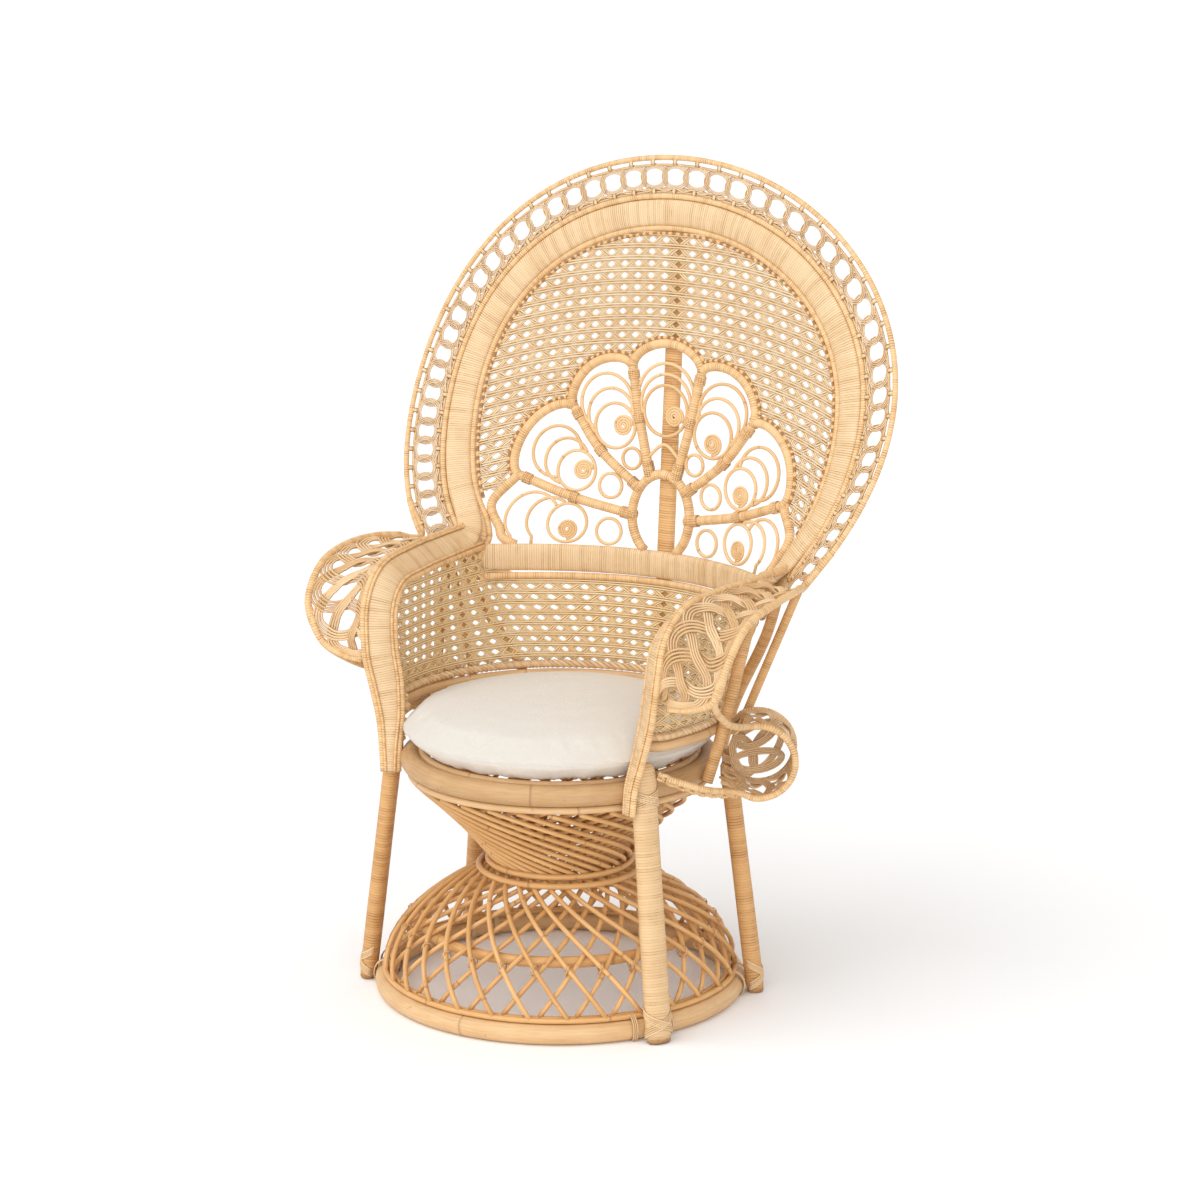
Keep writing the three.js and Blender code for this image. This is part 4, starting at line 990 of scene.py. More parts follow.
def scroll(piece, arcs, centre, axis, apart, toward):
    """A ring with a snail wound inside it, and the arcs that follow its petal outwards."""
    middle = flat(*centre)
    radius = nearest_gap(middle, poles) - SCROLL_GAP
    flat_rod(piece, flat_ring(middle, radius, 40), SCROLL_D, closed=True)
    way = flat(*toward).normalized()
    snail_r = min(SNAIL_R, radius * 0.5)
    snail_at = middle + way * (radius - snail_r - 5)
    snail = []
    for t in steps(64):
        a = 2 * math.pi * SNAIL_TURNS * t + math.atan2(way.z, way.x)
        r = mix(snail_r, SNAIL_HEART, t)
        snail.append(snail_at + flat(r * math.cos(a), r * math.sin(a)))
    flat_rod(piece, snail, SNAIL_D)
    lean = math.atan2(axis[1], axis[0])
    for k in (1, 2):
        shift = apart * k
        reach = radius * (1 + 0.14 * k)
        hub = middle + flat(math.cos(lean), math.sin(lean)) * (shift + radius - reach)
        halves = []
        for sign in (1, -1):
            half = []
            for t in steps(60):
                a = lean + sign * ARC_REACH * t
                place = hub + flat(reach * math.cos(a), reach * math.sin(a))
                if place.z < ARC_FOOT:
                    half.append(flat(place.x, 0))
                    break
                if nearest_gap(place, poles) < 6 or (place - middle).length < radius + 1:
                    break
                half.append(place)
            halves.append(half)
        if len(halves[0]) + len(halves[1]) < ARC_FEWEST:
            continue
        flat_rod(arcs, list(reversed(halves[0][1:])) + halves[1], SCROLL_D)


scroll_rings = Piece("petal_scrolls")
petal_arcs = Piece("petal_arcs")
for middle_place, tip_way, apart, snail_way in SCROLLS:
    scroll(scroll_rings, petal_arcs, middle_place, tip_way, apart, snail_way)
over_arch = spline([flat(33, 155), flat(0, 180), flat(-33, 155)], 20)
flat_rod(petal_arcs, over_arch, SCROLL_D)


def six_nodes(kind):
    return [f"{kind}_{level}_{side}" for level in ("low", "mid", "high") for side in ("right", "left")]


scroll_rings.finish(scroll_rod, "wound", "petal_scroll_top", *six_nodes("petal_scroll"))
petal_arcs.finish(scroll_rod, "wound")

small_rings = Piece("small_rings")
for x, up in SMALL_RINGS:
    for side in (1, -1):
        middle = flat(side * x, up)
        radius = nearest_gap(middle, poles) - SMALL_RING_GAP
        flat_rod(small_rings, flat_ring(middle, radius, 28), SCROLL_D, closed=True)
small_rings.finish(scroll_rod, "wound", *six_nodes("small_ring"))

sill = Piece("sill_wound")
sill_line = [on_fan(mix(-SILL_HALF - 14, SILL_HALF + 14, t), SILL_Z + 6) for t in steps(60)]
sill.strand(sill_line, UP, flat_section(46, BAND_THICKNESS + 3, 16, 0.6))
sill.finish(band_cane, "wound", "sill")

waist = Piece("waist_rod_wound")
waist_line = [on_fan(mix(-SILL_HALF, SILL_HALF, t), WAIST_ROD_Z) for t in steps(60)]
waist.strand(waist_line, UP, round_section(12, 10))
waist.finish(rod_cane, "wound", "waist_rod")


# Open cane: two slanting sets of strands with level pairs laid over them
MESH_WIDE = 26.0
MESH_TALL = 19.5
STRAND_WIDE = 3.6
PAIR_SHIFT = 3.0
LEVEL_SHIFT = 2.1
LEVEL_LIFT = 1.1


def in_outline(x, z, outline):
    inside = False
    for (x0, z0), (x1, z1) in zip(outline, outline[1:] + outline[:1]):
        if (z0 > z) != (z1 > z) and x < (x1 - x0) * (z - z0) / (z1 - z0) + x0:
            inside = not inside
    return inside


def open_cane(piece, places, keeps, wide, tall):
    """Weaves the three sets of strands in a flat pattern, and puts each run of kept places on its surface.

    places(x, z, lift) gives the place and facing, and keeps(x, z) says where the weave shows.
    """
    half_wide = wide / 2
    rows = math.ceil(tall / MESH_TALL)
    strands = []
    reach = math.ceil(wide / MESH_WIDE + tall / MESH_TALL)
    for slope in (1, -1):
        for k in range(-2 * reach, 2 * reach + 2):
            line = []
            for t in steps(rows * 4):
                z = tall * t
                x = (k // 2 - slope * z / MESH_TALL) * MESH_WIDE + PAIR_SHIFT * (k % 2 * 2 - 1)
                lift = 0.6 * slope * math.cos(math.pi * 2 * z / MESH_TALL) * (-1) ** (k // 2)
                line.append((x, z, lift))
            strands.append(line)
    count = math.ceil(wide / MESH_WIDE) * 2
    for row in range(rows):
        for offset in (-LEVEL_SHIFT, LEVEL_SHIFT):
            z = (row + 0.5) * MESH_TALL + offset
            strands.append([(mix(-half_wide, half_wide, t), z, LEVEL_LIFT) for t in steps(count)])
    for line in strands:
        runs = [[]]
        for x, z, lift in line:
            if abs(x) <= half_wide + 1 and keeps(x, z):
                runs[-1].append((x, z, lift))
            elif runs[-1]:
                runs.append([])
        for kept in runs:
            if len(kept) < 2:
                continue
            placed = [places(*spot) for spot in kept]
            points = [at for at, _ in placed]
            ways = tangents(points)
            sides = [way.cross(facing) for way, (_, facing) in zip(ways, placed)]
            piece.strand(points, sides, flat_section(STRAND_WIDE, 1.1, 4, 1))


FIELD_DROOP = 0.00047
FIELD_FOOT = 750
FIELD_WIDE = 720
FIELD_TALL = 530


def field_place(x, z, lift):
    height = FIELD_FOOT + z - FIELD_DROOP * x * x
    return on_fan(x, height, lift), fan_front(x, height)


field_outer = [(p.x, p.z) for p in fan_line(FIELD_INSET - 5)]
right_petals = list(reversed(low_petal[:9])) + mid_petal + high_petal + top_petal[:15]
right_edge = [(p.x, p.z + SILL_TOP) for p in right_petals]
field_inner = right_edge + [(-x, z) for x, z in reversed(right_edge)]
lowest = right_edge[0][1] - 4
field_outline = [spot for spot in field_outer if spot[1] > lowest] + field_inner


def field_keeps(x, z):
    return in_outline(x, FIELD_FOOT + z - FIELD_DROOP * x * x, field_outline)


fan_weave = Piece("fan_weave")
open_cane(fan_weave, field_place, field_keeps, FIELD_WIDE, FIELD_TALL)
fan_weave.finish(weave_cane, "cane", "fan_cane")


EDGE_END_Z = 735
EDGE_STEP = 9.5


def edge_bindings():
    """The brown bound edge where the strands are tied off, along the petals and inside the band."""
    piece = Piece("weave_edges")
    inner = [p for p in fan_line(FIELD_INSET + 1) if p.z > EDGE_END_Z]
    piece.strand(inner, insides(inner), round_section(6, 6))
    for edge in both([mid_petal, high_petal]) + [top_petal]:
        line = on_motif(edge)
        bound = []
        for p, side in zip(line, insides(line)):
            spots = (p - side * EDGE_STEP, p + side * EDGE_STEP)
            away = max(spots, key=lambda spot: math.hypot(spot.x, spot.z - SILL_TOP - 40))
            bound.append(on_fan(away.x, away.z, 1.5))
        piece.strand(bound, insides(bound), round_section(5.5, 6))
    piece.finish(binding_cane, "cane")


edge_bindings()


# Arms
band_neck = walk_inwards(guide_arc[-1][0], guide_arc[-1][1], BAND_INSET)
arm_end = on_fan(band_neck.x, 676, BAND_THICKNESS / 2 + 0.95)
ARM_ROUTE = [
    (Vector((228, -147, 356)), Vector((0.86, -0.5, 0))),
    (Vector((230, -144, 396)), Vector((0.85, -0.52, 0))),
    (Vector((237, -134, 440)), Vector((0.8, -0.6, 0))),
    (Vector((248, -129, 494)), Vector((0.76, -0.65, 0))),
    (Vector((258, -131, 550)), Vector((0.75, -0.66, 0.02))),
    (Vector((265, -120, 622)), Vector((0.72, -0.5, 0.48))),
    (Vector((272, -82, 660)), Vector((0.71, -0.14, 0.69))),
    (Vector((282, 0, 672)), Vector((0.72, 0, 0.69))),
    (Vector((293, 85, 675)), Vector((0.74, 0.05, 0.67))),
    (arm_end, Vector((0.76, 0.2, 0.62))),
]
ARM_STEPS = 79
arm_places = [at for at, _ in ARM_ROUTE]
arm_paces = even_paces(arm_places, ARM_STEPS)
arm_line = [spline_at(arm_places, t) for t in arm_paces]
arm_out = []
for pace, along in zip(arm_paces, tangents(arm_line)):
    out = spline_at([way for _, way in ARM_ROUTE], pace)
    arm_out.append((out - along * out.dot(along)).normalized())


STILE_FOOT_SHARE = 0.34
STILE_FOOT_Z = 350
STILE_FULL_Z = 540


def arm_share(z):
    """The band's share of its width: it narrows down the stile to the leg."""
    t = min(max((z - STILE_FOOT_Z) / (STILE_FULL_Z - STILE_FOOT_Z), 0), 1)
    return mix(STILE_FOOT_SHARE, 1, t * t * (3 - 2 * t))


arm_shares = [arm_share(p.z) for p in arm_line]


def beside_arm(side, reach):
    """A line along the band that runs past one of its edges."""
    return [p + out * (side * (BAND_WIDTH / 2 * share + reach))
            for p, out, share in zip(arm_line, arm_out, arm_shares)]


ROD_REACH = 5.35
outer_rod = beside_arm(1, ROD_REACH)
inner_rod = beside_arm(-1, ROD_REACH)


def on_both_sides(piece, line, sides, section, sizes=None):
    for place in (Vector.copy, mirrored):
        turned = [place(side) for side in sides] if isinstance(sides, list) else place(sides)
        piece.strand([place(p) for p in line], turned, section, sizes=sizes)


arm_bands = Piece("arm_bands")
on_both_sides(arm_bands, arm_line, arm_out, flat_section(BAND_WIDTH, BAND_THICKNESS, 16, 0.7),
              [(share, 1) for share in arm_shares])
arm_bands.finish(band_cane, "wound", "arm_band_right", "arm_band_left")
arm_rods = Piece("arm_rods")
on_both_sides(arm_rods, outer_rod, arm_out, round_section(10, 8))
on_both_sides(arm_rods, inner_rod, arm_out, round_section(10, 8))
arm_rods.finish(rod_cane, "wound", "arm_outer_rod_right", "arm_outer_rod_left", "arm_inner_rod_right",
                "arm_inner_rod_left")

elbows = Piece("neck_elbows")
for rod, inset in ((inner_rod, INNER_ROD_INSET), (outer_rod, OUTER_ROD_INSET)):
    fan_end = fan_line(inset)
    on_both_sides(elbows, spline([rod[-5], rod[-1], fan_end[-1], fan_end[-7]], 20), Vector((1, 0.2, 0)),
                  round_section(9.6, 8))
waist_tail = spline([waist_line[-4], waist_line[-1], Vector((281, 166, 640)), inner_rod[-1]], 18)
on_both_sides(elbows, waist_tail, Vector((0.3, 1, 0)), round_section(11, 8))
elbows.finish(rod_cane, "wound")


def fan_stop(z, forward):
    """A place on the right end of the fan's band, and its way out across the band."""
    outs = [-way for way in insides(band_line)]
    i = next(k for k in range(len(band_line) - 1, 0, -1) if band_line[k].z >= z)
    at = band_line[i]
    return at + fan_front(at.x, at.z) * forward, outs[i]


NECK_LOW_Z = 718
NECK_HIGH_Z = 752
neck_low, neck_high = fan_stop(NECK_LOW_Z, 5), fan_stop(NECK_HIGH_Z, 1.5)
corner_place = arm_line[-1].lerp(neck_low[0], 0.36) + Vector((0, -5, 0))
neck_stops = [(arm_line[-9], arm_out[-9]), (arm_line[-5], arm_out[-5]),
              (corner_place, arm_out[-1].lerp(neck_low[1], 0.6)), neck_low, neck_high]
neck_line = spline([at for at, _ in neck_stops], 28)
neck_sides = spline([way for _, way in neck_stops], 28)
neck_band = Piece("neck_bands")
on_both_sides(neck_band, neck_line, neck_sides, flat_section(BAND_WIDTH + 1, 12, 16, 0.7))
neck_band.finish(band_cane, "wound")

edge_cords = Piece("edge_cords")
for side, reach, forward in ((1, 0.6, 5.4), (-1, 0.2, 5.2)):
    cord = [p - along.cross(out) * forward
            for p, along, out in zip(beside_arm(side, reach), tangents(arm_line), arm_out)]
    on_both_sides(edge_cords, cord, arm_out, round_section(5, 6))
edge_cords.finish(rod_cane, "wound")


# Wall round the seat
RAIL_Z = 455
BORDER_Z = 470.35
WALL_BOTTOM = 477.7
WALL_BACK_TOP = 617
WALL_R = 266
WALL_STEPS = 96


def wall_front(z):
    for a, b in zip(inner_rod, inner_rod[1:]):
        if b.z >= z:
            return a.lerp(b, (z - a.z) / (b.z - a.z)) + Vector((2, 13.35, 0))
    return inner_rod[-1]


WALL_ANGLES = (-19, -12, 2, 20, 35, 43, 53, 70, 90)
low_plan = [wall_front(RAIL_Z)] + [polar(angle, WALL_R, RAIL_Z) for angle in WALL_ANGLES]
high_plan = [wall_front(596), Vector((256, -94, 634)), Vector((257, -62, 645)), Vector((265, 8, 653)),
             Vector((274, 90, 657)), Vector((279, 152, 660)), on_fan(277, 640), on_fan(226, WALL_BACK_TOP),
             on_fan(124, WALL_BACK_TOP), on_fan(0, WALL_BACK_TOP)]


def whole_plan(plan):
    points = plan + [mirrored(p) for p in reversed(plan[:-1])]
    return [spline_at(points, t) for t in steps(WALL_STEPS)]


low_line = whole_plan(low_plan)
high_line = whole_plan(high_plan)
wall_runs = [0.0]
for i in range(WALL_STEPS):
    wall_runs.append(wall_runs[-1] + (low_line[i + 1].lerp(high_line[i + 1], 0.5)
                                      - low_line[i].lerp(high_line[i], 0.5)).length)
WALL_LENGTH = wall_runs[-1]


def wall_at(i, z):
    return low_line[i].lerp(high_line[i], (z - low_line[i].z) / (high_line[i].z - low_line[i].z))


def wall_out(i):
    along = low_line[min(i + 1, WALL_STEPS)] - low_line[max(i - 1, 0)]
    return Vector((along.y, -along.x, 0)).normalized()


ROW_SHARE = 0.88
WALL_HIGH = MESH_TALL * 10.5


def wall_spot(x):
    run = max(0.0, min(WALL_LENGTH, x + WALL_LENGTH / 2))
    i = next(k for k in range(WALL_STEPS) if wall_runs[k + 1] >= run - 1e-6)
    return i, (run - wall_runs[i]) / (wall_runs[i + 1] - wall_runs[i])


def wall_place(x, z, lift):
    i, t = wall_spot(x)
    height = WALL_BOTTOM + z * ROW_SHARE
    inwards = -wall_out(i).lerp(wall_out(i + 1), t)
    return wall_at(i, height).lerp(wall_at(i + 1, height), t) + inwards * lift, inwards


def wall_keeps(x, z):
    i, t = wall_spot(x)
    return WALL_BOTTOM + z * ROW_SHARE < mix(high_line[i].z, high_line[i + 1].z, t) + 2


# The wall weave takes the lighter cane, painted light against the wall's shade.
wall_weave = Piece("wall_weave")
open_cane(wall_weave, wall_place, wall_keeps, WALL_LENGTH, WALL_HIGH)
wall_weave.finish(wall_cane, "cane", "wall_cane")

wall_rail = Piece("wall_rail_pole")
rail_line = [wall_at(i, RAIL_Z) for i in range(WALL_STEPS + 1)]
wall_rail.strand(rail_line, UP, round_section(16, 10))
wall_rail.finish(smooth_pole, "pole", "wall_rail")


def wall_border():
    """Three strands plaited along the foot of the weave."""
    piece = Piece("wall_plait")
    for strand in range(3):
        line = []
        for i in range(WALL_STEPS * 3 + 1):
            k = min(i // 3, WALL_STEPS - 1)
            t = i / 3 - k
            at = wall_at(k, BORDER_Z).lerp(wall_at(k + 1, BORDER_Z), t)
            out = wall_out(k)
            turn = 2 * math.pi * (i / 6 + strand / 3)
            line.append(at + out * (3.4 * math.sin(turn)) + UP * (4.2 * math.cos(turn)))
        piece.strand(line, UP, round_section(7, 5))
    piece.finish(lace_cane, "cane", "wall_border")


wall_border()


# Posts behind the wall
POST_REACH = 17.35
POST_FOOT_Z = 374.5
WALL_MIDDLE = WALL_STEPS // 2


def behind_wall(z):
    return wall_at(WALL_MIDDLE, z) + wall_out(WALL_MIDDLE) * POST_REACH


def behind_fan(z, reach):
    return on_fan(0, z) + Vector((0, reach, 0))


post_stops = [polar(90, 264.35, POST_FOOT_Z), behind_wall(RAIL_Z), behind_wall(WALL_BACK_TOP),
              behind_fan(SILL_TOP, POST_REACH), behind_fan(1004.8, POST_REACH), behind_fan(1232, 16.35)]
centre_post = Piece("centre_post_wound")
centre_post.strand(even_line(post_stops, 80), Vector((1, 0, 0)), flat_section(30, 18, 14, 0.8))
centre_post.finish(post_cane, "wound", "centre_post")

# Posts behind the sides, each from the seat ring up to the arm or the neck
SIDE_POST = [(263, 22, POST_FOOT_Z), (278, 44, RAIL_Z), (295, 98, 625), (299, 112, 652)]
REAR_POST = [(187, 187, POST_FOOT_Z), (207.3, 193, RAIL_Z), (283, 166, 586), (307, 160, 652)]
REAR_STAY = [(237, 116, 372), (265, 130, RAIL_Z), (312, 152, 585), (340, 165, 662)]


def post_line(stops):
    return spline([Vector(stop) for stop in stops], 40)


side_posts = Piece("side_posts_wound")
on_both_sides(side_posts, post_line(SIDE_POST), Vector((0.4, 0.9, 0)), flat_section(19, 17, 12, 0.9))
on_both_sides(side_posts, post_line(REAR_POST), Vector((0.8, 0.6, 0)), flat_section(18, 17, 12, 0.9))
side_posts.finish(post_cane, "wound", "side_post_right", "side_post_left",
                  "rear_post_right", "rear_post_left")
stays = Piece("rear_stays")
on_both_sides(stays, post_line(REAR_STAY), Vector((0.6, 0.8, 0)), round_section(14, 10))
stays.finish(post_cane, "wound")


# Lace: ribbons of strands that loop from edge to edge of a bent surface
LACE_RIBBONS = 4
LACE_STRANDS = 4
LACE_LIFT = 3.6
LACE_BEND = 0.94
LOOP_STEPS = 48


def knotted_lace(piece, surface, length, width, loops, gauge, place):
    """Looping ribbons that cross over and under each other.

    surface(u, v) gives the place and facing at shares of the length and the width.
    """
    half = gauge * LACE_STRANDS / 2 / width
    swing = 0.3 * length / (2 * math.pi * loops)
    for ribbon in range(LACE_RIBBONS):
        for strand in range(LACE_STRANDS):
            shift = (strand - (LACE_STRANDS - 1) / 2) * gauge
            flat_line = []
            for t in steps(round(loops * LOOP_STEPS)):
                a = 2 * math.pi * (loops * t + ribbon / LACE_RIBBONS)
                u = t * length + swing * math.sin(2 * a)
                crossed = 0.5 * math.asin(LACE_BEND * math.cos(a)) / math.asin(LACE_BEND)
                v = (0.5 - crossed * (1 - 2 * half)) * width
                lift = -LACE_LIFT * math.cos(LACE_RIBBONS * a) * min(max(2.5 * math.sin(a), -1), 1)
                flat_line.append(Vector((u, v, lift)))
            points, facings = [], []
            for p, way in zip(flat_line, tangents(flat_line)):
                side = Vector((-way.y, way.x, 0)).normalized()
                u = min(max((p.x + side.x * shift) / length, 0), 1)
                v = min(max((p.y + side.y * shift) / width, 0.015), 0.985)
                at, facing = surface(u, v)
                points.append(place(at + facing * p.z))
                facings.append(place(facing))
            sides = [way.cross(facing) for way, facing in zip(tangents(points), facings)]
            tone = ribbon * 0.4 + strand * 0.1
            piece.strand(points, sides, round_section(gauge * 0.98, 5), tone=tone)


WING_RIM = [Vector(p) for p in ((290, -140, 528), (335, -136, 533), (374, -137, 553), (397, -140, 610),
                                (405, -98, 664), (411, -24, 686), (402, 50, 690), (385, 92, 686))]
WING_STEPS = 44
wing_rim = spline(WING_RIM, WING_STEPS)
WING_START = 27
wing_rod = outer_rod[WING_START:WING_START + WING_STEPS + 1]


def wing_surface(u, v):
    i = min(int(u * WING_STEPS), WING_STEPS - 1)
    t = u * WING_STEPS - i
    rim = wing_rim[i].lerp(wing_rim[i + 1], t)
    rod = wing_rod[i].lerp(wing_rod[i + 1], t)
    across = rim - rod
    along = wing_rim[min(i + 2, WING_STEPS)] - wing_rim[max(i - 1, 0)]
    facing = across.cross(along).normalized()
    return rod + across * v - facing * (10 * math.sin(math.pi * v)), facing


wing_lace = Piece("wing_lace_knots")
wing_rims = Piece("wing_rims_wound")
for place in (Vector.copy, mirrored):
    knotted_lace(wing_lace, wing_surface, length=370, width=116, loops=1.85, gauge=4.6, place=place)
rim_sizes = [(mix(0.5, 1, min(1, i / 9)),) * 2 for i in range(WING_STEPS + 1)]
on_both_sides(wing_rims, wing_rim, UP, round_section(12, 8), rim_sizes)
fan_rim_line = fan_line(RIM_ROD_INSET)
link_middle = wing_rim[-1].lerp(fan_rim_line[-1], 0.55) + Vector((0, -4, -3))
rim_link = spline([wing_rim[-5], wing_rim[-1], link_middle, fan_rim_line[-1], fan_rim_line[-5]], 24)
on_both_sides(wing_rims, rim_link, Vector((1, 0, 0)), round_section(11, 8))
wing_lace.finish(lace_cane, "cane", "wing_lace_right", "wing_lace_left")
wing_rims.finish(rod_cane, "wound", "wing_rim_right", "wing_rim_left")

ROLL_R = 58
ROLL_CENTRE = 316
ROLL_Z = 418
ROLL_FROM = -155
ROLL_TO = -51
ROLL_STEPS = 60
roll_out = polar(31, 1, 0)
roll_along = Vector((-roll_out.y, roll_out.x, 0))
roll_angles = [math.radians(mix(-100, 118, t)) for t in steps(40)]
roll_arc = [flat(ROLL_CENTRE + ROLL_R * math.cos(a), ROLL_Z + ROLL_R * math.sin(a)) for a in roll_angles]
roll_profile = even_line([flat(259, SEAT_Z)] + roll_arc + [flat(277, RAIL_Z)], ROLL_STEPS)


def roll_surface(u, v):
    i = min(int(u * ROLL_STEPS), ROLL_STEPS - 1)
    spot = roll_profile[i].lerp(roll_profile[i + 1], u * ROLL_STEPS - i)
    way = (roll_profile[i + 1] - roll_profile[i]).normalized()
    facing = roll_out * way.z + Vector((0, 0, -way.x))
    return roll_out * spot.x + roll_along * mix(ROLL_FROM, ROLL_TO, v) + Vector((0, 0, spot.z)), facing


# Loops across the roll's open end: how far out and up, half the width and height, and the lean
ROLL_LOOPS = [(-22, -12, 16, 30, 0.3), (14, 2, 17, 38, -0.5), (-2, 22, 34, 14, 0.5), (0, -20, 38, 15, 0.15)]
roll_lace = Piece("roll_lace_knots")
roll_rims = Piece("roll_rims_wound")
for place in (Vector.copy, mirrored):
    knotted_lace(roll_lace, roll_surface, length=330, width=100, loops=1.7, gauge=3.9, place=place)
    for across, up, wide, tall, lean in ROLL_LOOPS:
        for strand in range(4):
            grow = (strand - 1.5) * 3
            loop = []
            for a in turns(30):
                side, rise = (wide + grow) * math.cos(a), (tall + grow) * math.sin(a)
                out = ROLL_CENTRE + across + (side * math.cos(lean) - rise * math.sin(lean))
                z = ROLL_Z + up + (side * math.sin(lean) + rise * math.cos(lean))
                depth = ROLL_TO - 14 + 5 * math.cos(2 * a + lean)
                loop.append(place(roll_out * out + roll_along * depth + UP * z))
            roll_lace.strand(loop, [tangent.cross(place(roll_along)) for tangent in tangents(loop, True)],
                             flat_section(3.1, 2.4, 5, 0.9), closed=True, tone=0.3 + strand * 0.1)
front_ring = [roll_surface(t, 0.0)[0] for t in (0.88, 0.8, 0.7, 0.6, 0.5, 0.4, 0.3, 0.2, 0.12)]
rim_start = [Vector(p) for p in ((397, -140, 610), (374, -137, 552), (356, -80, 508), (342, -20, 484))]
rim_end = [Vector(p) for p in ((302, -45, 384), (263, -98, 408))]
front_rim = spline(rim_start + front_ring + rim_end, 90)
on_both_sides(roll_rims, front_rim, roll_along, round_section(11, 8))
TRAIL_FROM = Vector((250, -108, 414))
TRAIL_TO = Vector((320, 12, 368))
TRAIL_SWING = Vector((0.5, -0.3, 0.8))
for strand in range(3):
    trail = []
    for t in steps(36):
        at = TRAIL_FROM.lerp(TRAIL_TO, t) + Vector((6, 0, -10 * math.sin(math.pi * t)))
        swing = 7 * math.sin(2 * math.pi * (2.5 * t + strand / 3))
        trail.append(at + TRAIL_SWING * swing)
    on_both_sides(roll_rims, trail, UP, round_section(6.5, 6))
back_rim = [roll_surface(t, 1.0)[0] for t in steps(ROLL_STEPS)]
on_both_sides(roll_rims, back_rim, roll_along, round_section(9, 8))
roll_lace.finish(lace_cane, "cane", "roll_lace_right", "roll_lace_left")
roll_rims.finish(rod_cane, "wound")


# Cushion
CUSHION_BOTTOM = 402.15
CUSHION_SEAM = 434.1
CUSHION_R = 250
PAD_START = 0.985
PAD_MESH = 5.5
SWELL_PRESSURE = 4
SWELL_FRAMES = 20
SWELL_LIMIT = 6
SEAM_PULL = 2.2
SEAM_REACH = 3.2


def cushion():
    """A round linen pad, swollen by its filling and flat only where it lies on the seat."""
    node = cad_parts["cushion"]
    pad = bmesh.new()
    pad.from_mesh(node.data)
    bmesh.ops.remove_doubles(pad, verts=pad.verts, dist=1e-6)
    bmesh.ops.recalc_face_normals(pad, faces=pad.faces)
    middle = Vector((0, AXIS_Y, CUSHION_SEAM * MM))
    for v in pad.verts:
        v.co = middle + (v.co - middle) * PAD_START
    mesh = bpy.data.meshes.new("cushion_linen")
    pad.to_mesh(mesh)
    pad.free()
    piece = bpy.data.objects.new("cushion_linen", mesh)
    bpy.context.scene.collection.objects.link(piece)
    remesh = piece.modifiers.new("even", "REMESH")
    remesh.mode = "VOXEL"
    remesh.voxel_size = PAD_MESH * MM
    remesh.use_smooth_shade = True
    settle(piece)
    start = [v.co.copy() for v in piece.data.vertices]
    cloth = piece.modifiers.new("swell", "CLOTH")
    cloth.settings.use_pressure = True
    cloth.settings.uniform_pressure_force = SWELL_PRESSURE
    cloth.settings.effector_weights.gravity = 0
    cloth.point_cache.frame_start = 1
    cloth.point_cache.frame_end = SWELL_FRAMES
    for number in range(1, SWELL_FRAMES + 1):
        bpy.context.scene.frame_set(number)
    settle(piece)
    bpy.context.scene.frame_set(1)
    limit = SWELL_LIMIT * MM
    widest = (CUSHION_R - 0.5) * MM
    for v, before in zip(piece.data.vertices, start):
        moved = v.co - before
        if moved.length > limit:
            moved *= limit / moved.length
        place = before + moved
        radius = math.hypot(place.x, place.y - AXIS_Y)
        if radius > widest:
            place.x *= widest / radius
            place.y = AXIS_Y + (place.y - AXIS_Y) * widest / radius
        seam_pull = math.exp(-((place.z / MM - CUSHION_SEAM) / SEAM_REACH) ** 2) * SEAM_PULL * MM
        if radius > 0.2:
            place.x -= place.x / radius * seam_pull
            place.y -= (place.y - AXIS_Y) / radius * seam_pull
        place.z = max(place.z, CUSHION_BOTTOM * MM)
        v.co = place
    reach = max(math.hypot(v.co.x, v.co.y - AXIS_Y) for v in piece.data.vertices)
    for v in piece.data.vertices:
        v.co.x *= CUSHION_R * MM / reach
        v.co.y = AXIS_Y + (v.co.y - AXIS_Y) * CUSHION_R * MM / reach
    finer = piece.modifiers.new("finer", "SUBSURF")
    finer.levels = 1
    finer.render_levels = 1
    settle(piece)
    bpy.context.scene.collection.objects.unlink(piece)
    place_piece(piece, linen, ["cushion"], "cushion")


def settle(piece):
    """Makes what the modifiers give the piece's own mesh."""
    shown = bpy.context.evaluated_depsgraph_get()
    made = bpy.data.meshes.new_from_object(piece.evaluated_get(shown))
    piece.modifiers.clear()
    piece.data = made
    for polygon in made.polygons:
        polygon.use_smooth = True


cushion()

seam = Piece("cushion_seam")
seam.strand(ring_line(CUSHION_R - 1.4, CUSHION_SEAM, 160), UP, round_section(2.6, 6), closed=True)
seam.finish(linen, "linen", body="cushion")


# Floor, light and camera
FLOOR_HALF = 150
SKY_STRENGTH = 0.79
WHITE = (1, 1, 1, 1)


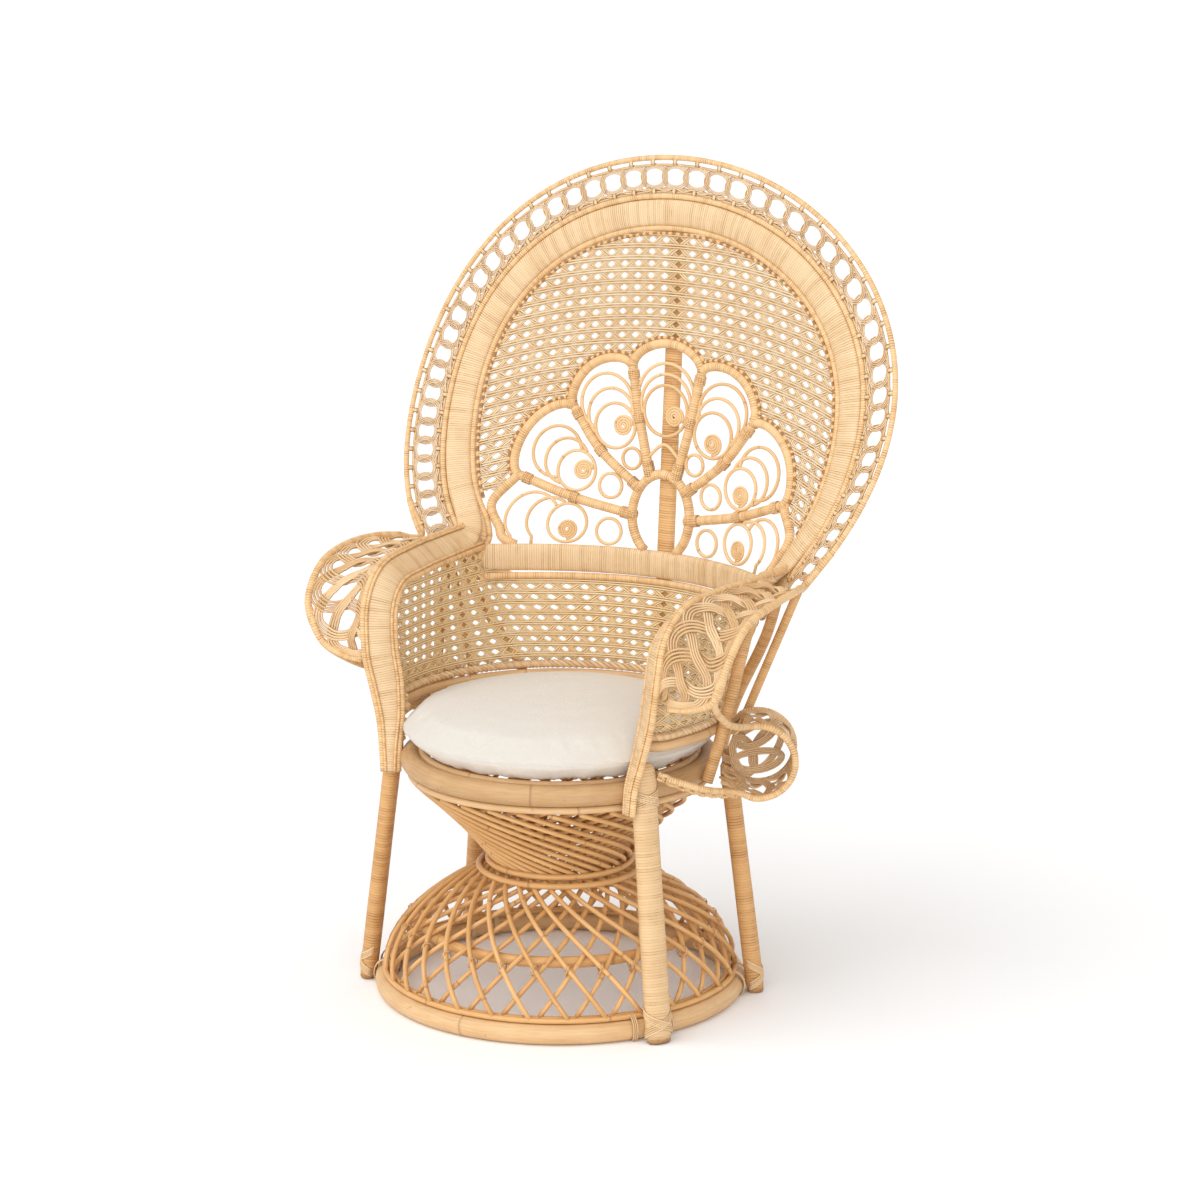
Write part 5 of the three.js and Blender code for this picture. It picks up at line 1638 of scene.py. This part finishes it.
def floor():
    plane = bmesh.new()
    bmesh.ops.create_grid(plane, x_segments=8, y_segments=8, size=FLOOR_HALF)
    mesh = bpy.data.meshes.new("floor")
    plane.to_mesh(mesh)
    plane.free()
    ground = bpy.data.objects.new("floor", mesh)
    bpy.context.scene.collection.objects.link(ground)
    finish = Finish("pale_floor")
    finish.colour(finish.blended(finish.speckle(2, 2), linear(250, 250, 250), linear(252, 252, 252)))
    finish.roughness(0.9)
    mesh.materials.append(finish.material)


def soft_sun(name, way, strength, spread):
    lamp = bpy.data.lights.new(name, "SUN")
    lamp.energy = strength
    lamp.angle = math.radians(spread)
    holder = bpy.data.objects.new(name, lamp)
    holder.rotation_euler = Vector(way).to_track_quat("-Z", "Y").to_euler()
    bpy.context.scene.collection.objects.link(holder)


def studio():
    """Even light all round, in front of a backdrop that is seen as plain white."""
    world = bpy.data.worlds.new("studio")
    bpy.context.scene.world = world
    world.use_nodes = True
    nodes = Nodes(world.node_tree)
    sky = world.node_tree.nodes["Background"]
    nodes.feed(sky.inputs["Color"], WHITE)
    nodes.feed(sky.inputs["Strength"], SKY_STRENGTH)
    backdrop = nodes.node("ShaderNodeBackground", {}, {"Color": WHITE, "Strength": 1})
    seen = nodes.node("ShaderNodeLightPath", {}, {}, "Is Camera Ray")
    for ray in ("Is Glossy Ray", "Is Transmission Ray"):
        also = nodes.node("ShaderNodeLightPath", {}, {}, ray)
        seen = nodes.node("ShaderNodeMath", {"operation": "MAXIMUM"}, {0: seen, 1: also})
    pick = nodes.node("ShaderNodeMixShader", {}, {0: seen, 1: Value(nodes, sky.outputs[0]), 2: backdrop})
    nodes.feed(world.node_tree.nodes["World Output"].inputs["Surface"], pick)


floor()
studio()
soft_sun("key", (0.4, 0.8, -1.0), 1.25, 60)
soft_sun("fill", (-0.56, 0.8, -0.24), 1.0, 40)

view = bpy.data.cameras.new("view")
view.lens = 96.62
view.sensor_width = 36
view.clip_end = 500
camera = bpy.data.objects.new("view", view)
camera.location = (2.819, -4.1395, 1.727)
looked_at = Vector((0, 0.0863, 0.617))
camera.rotation_euler = (looked_at - camera.location).to_track_quat("-Z", "Y").to_euler()
bpy.context.scene.collection.objects.link(camera)
bpy.context.scene.camera = camera
bpy.context.scene.view_settings.view_transform = "Standard"
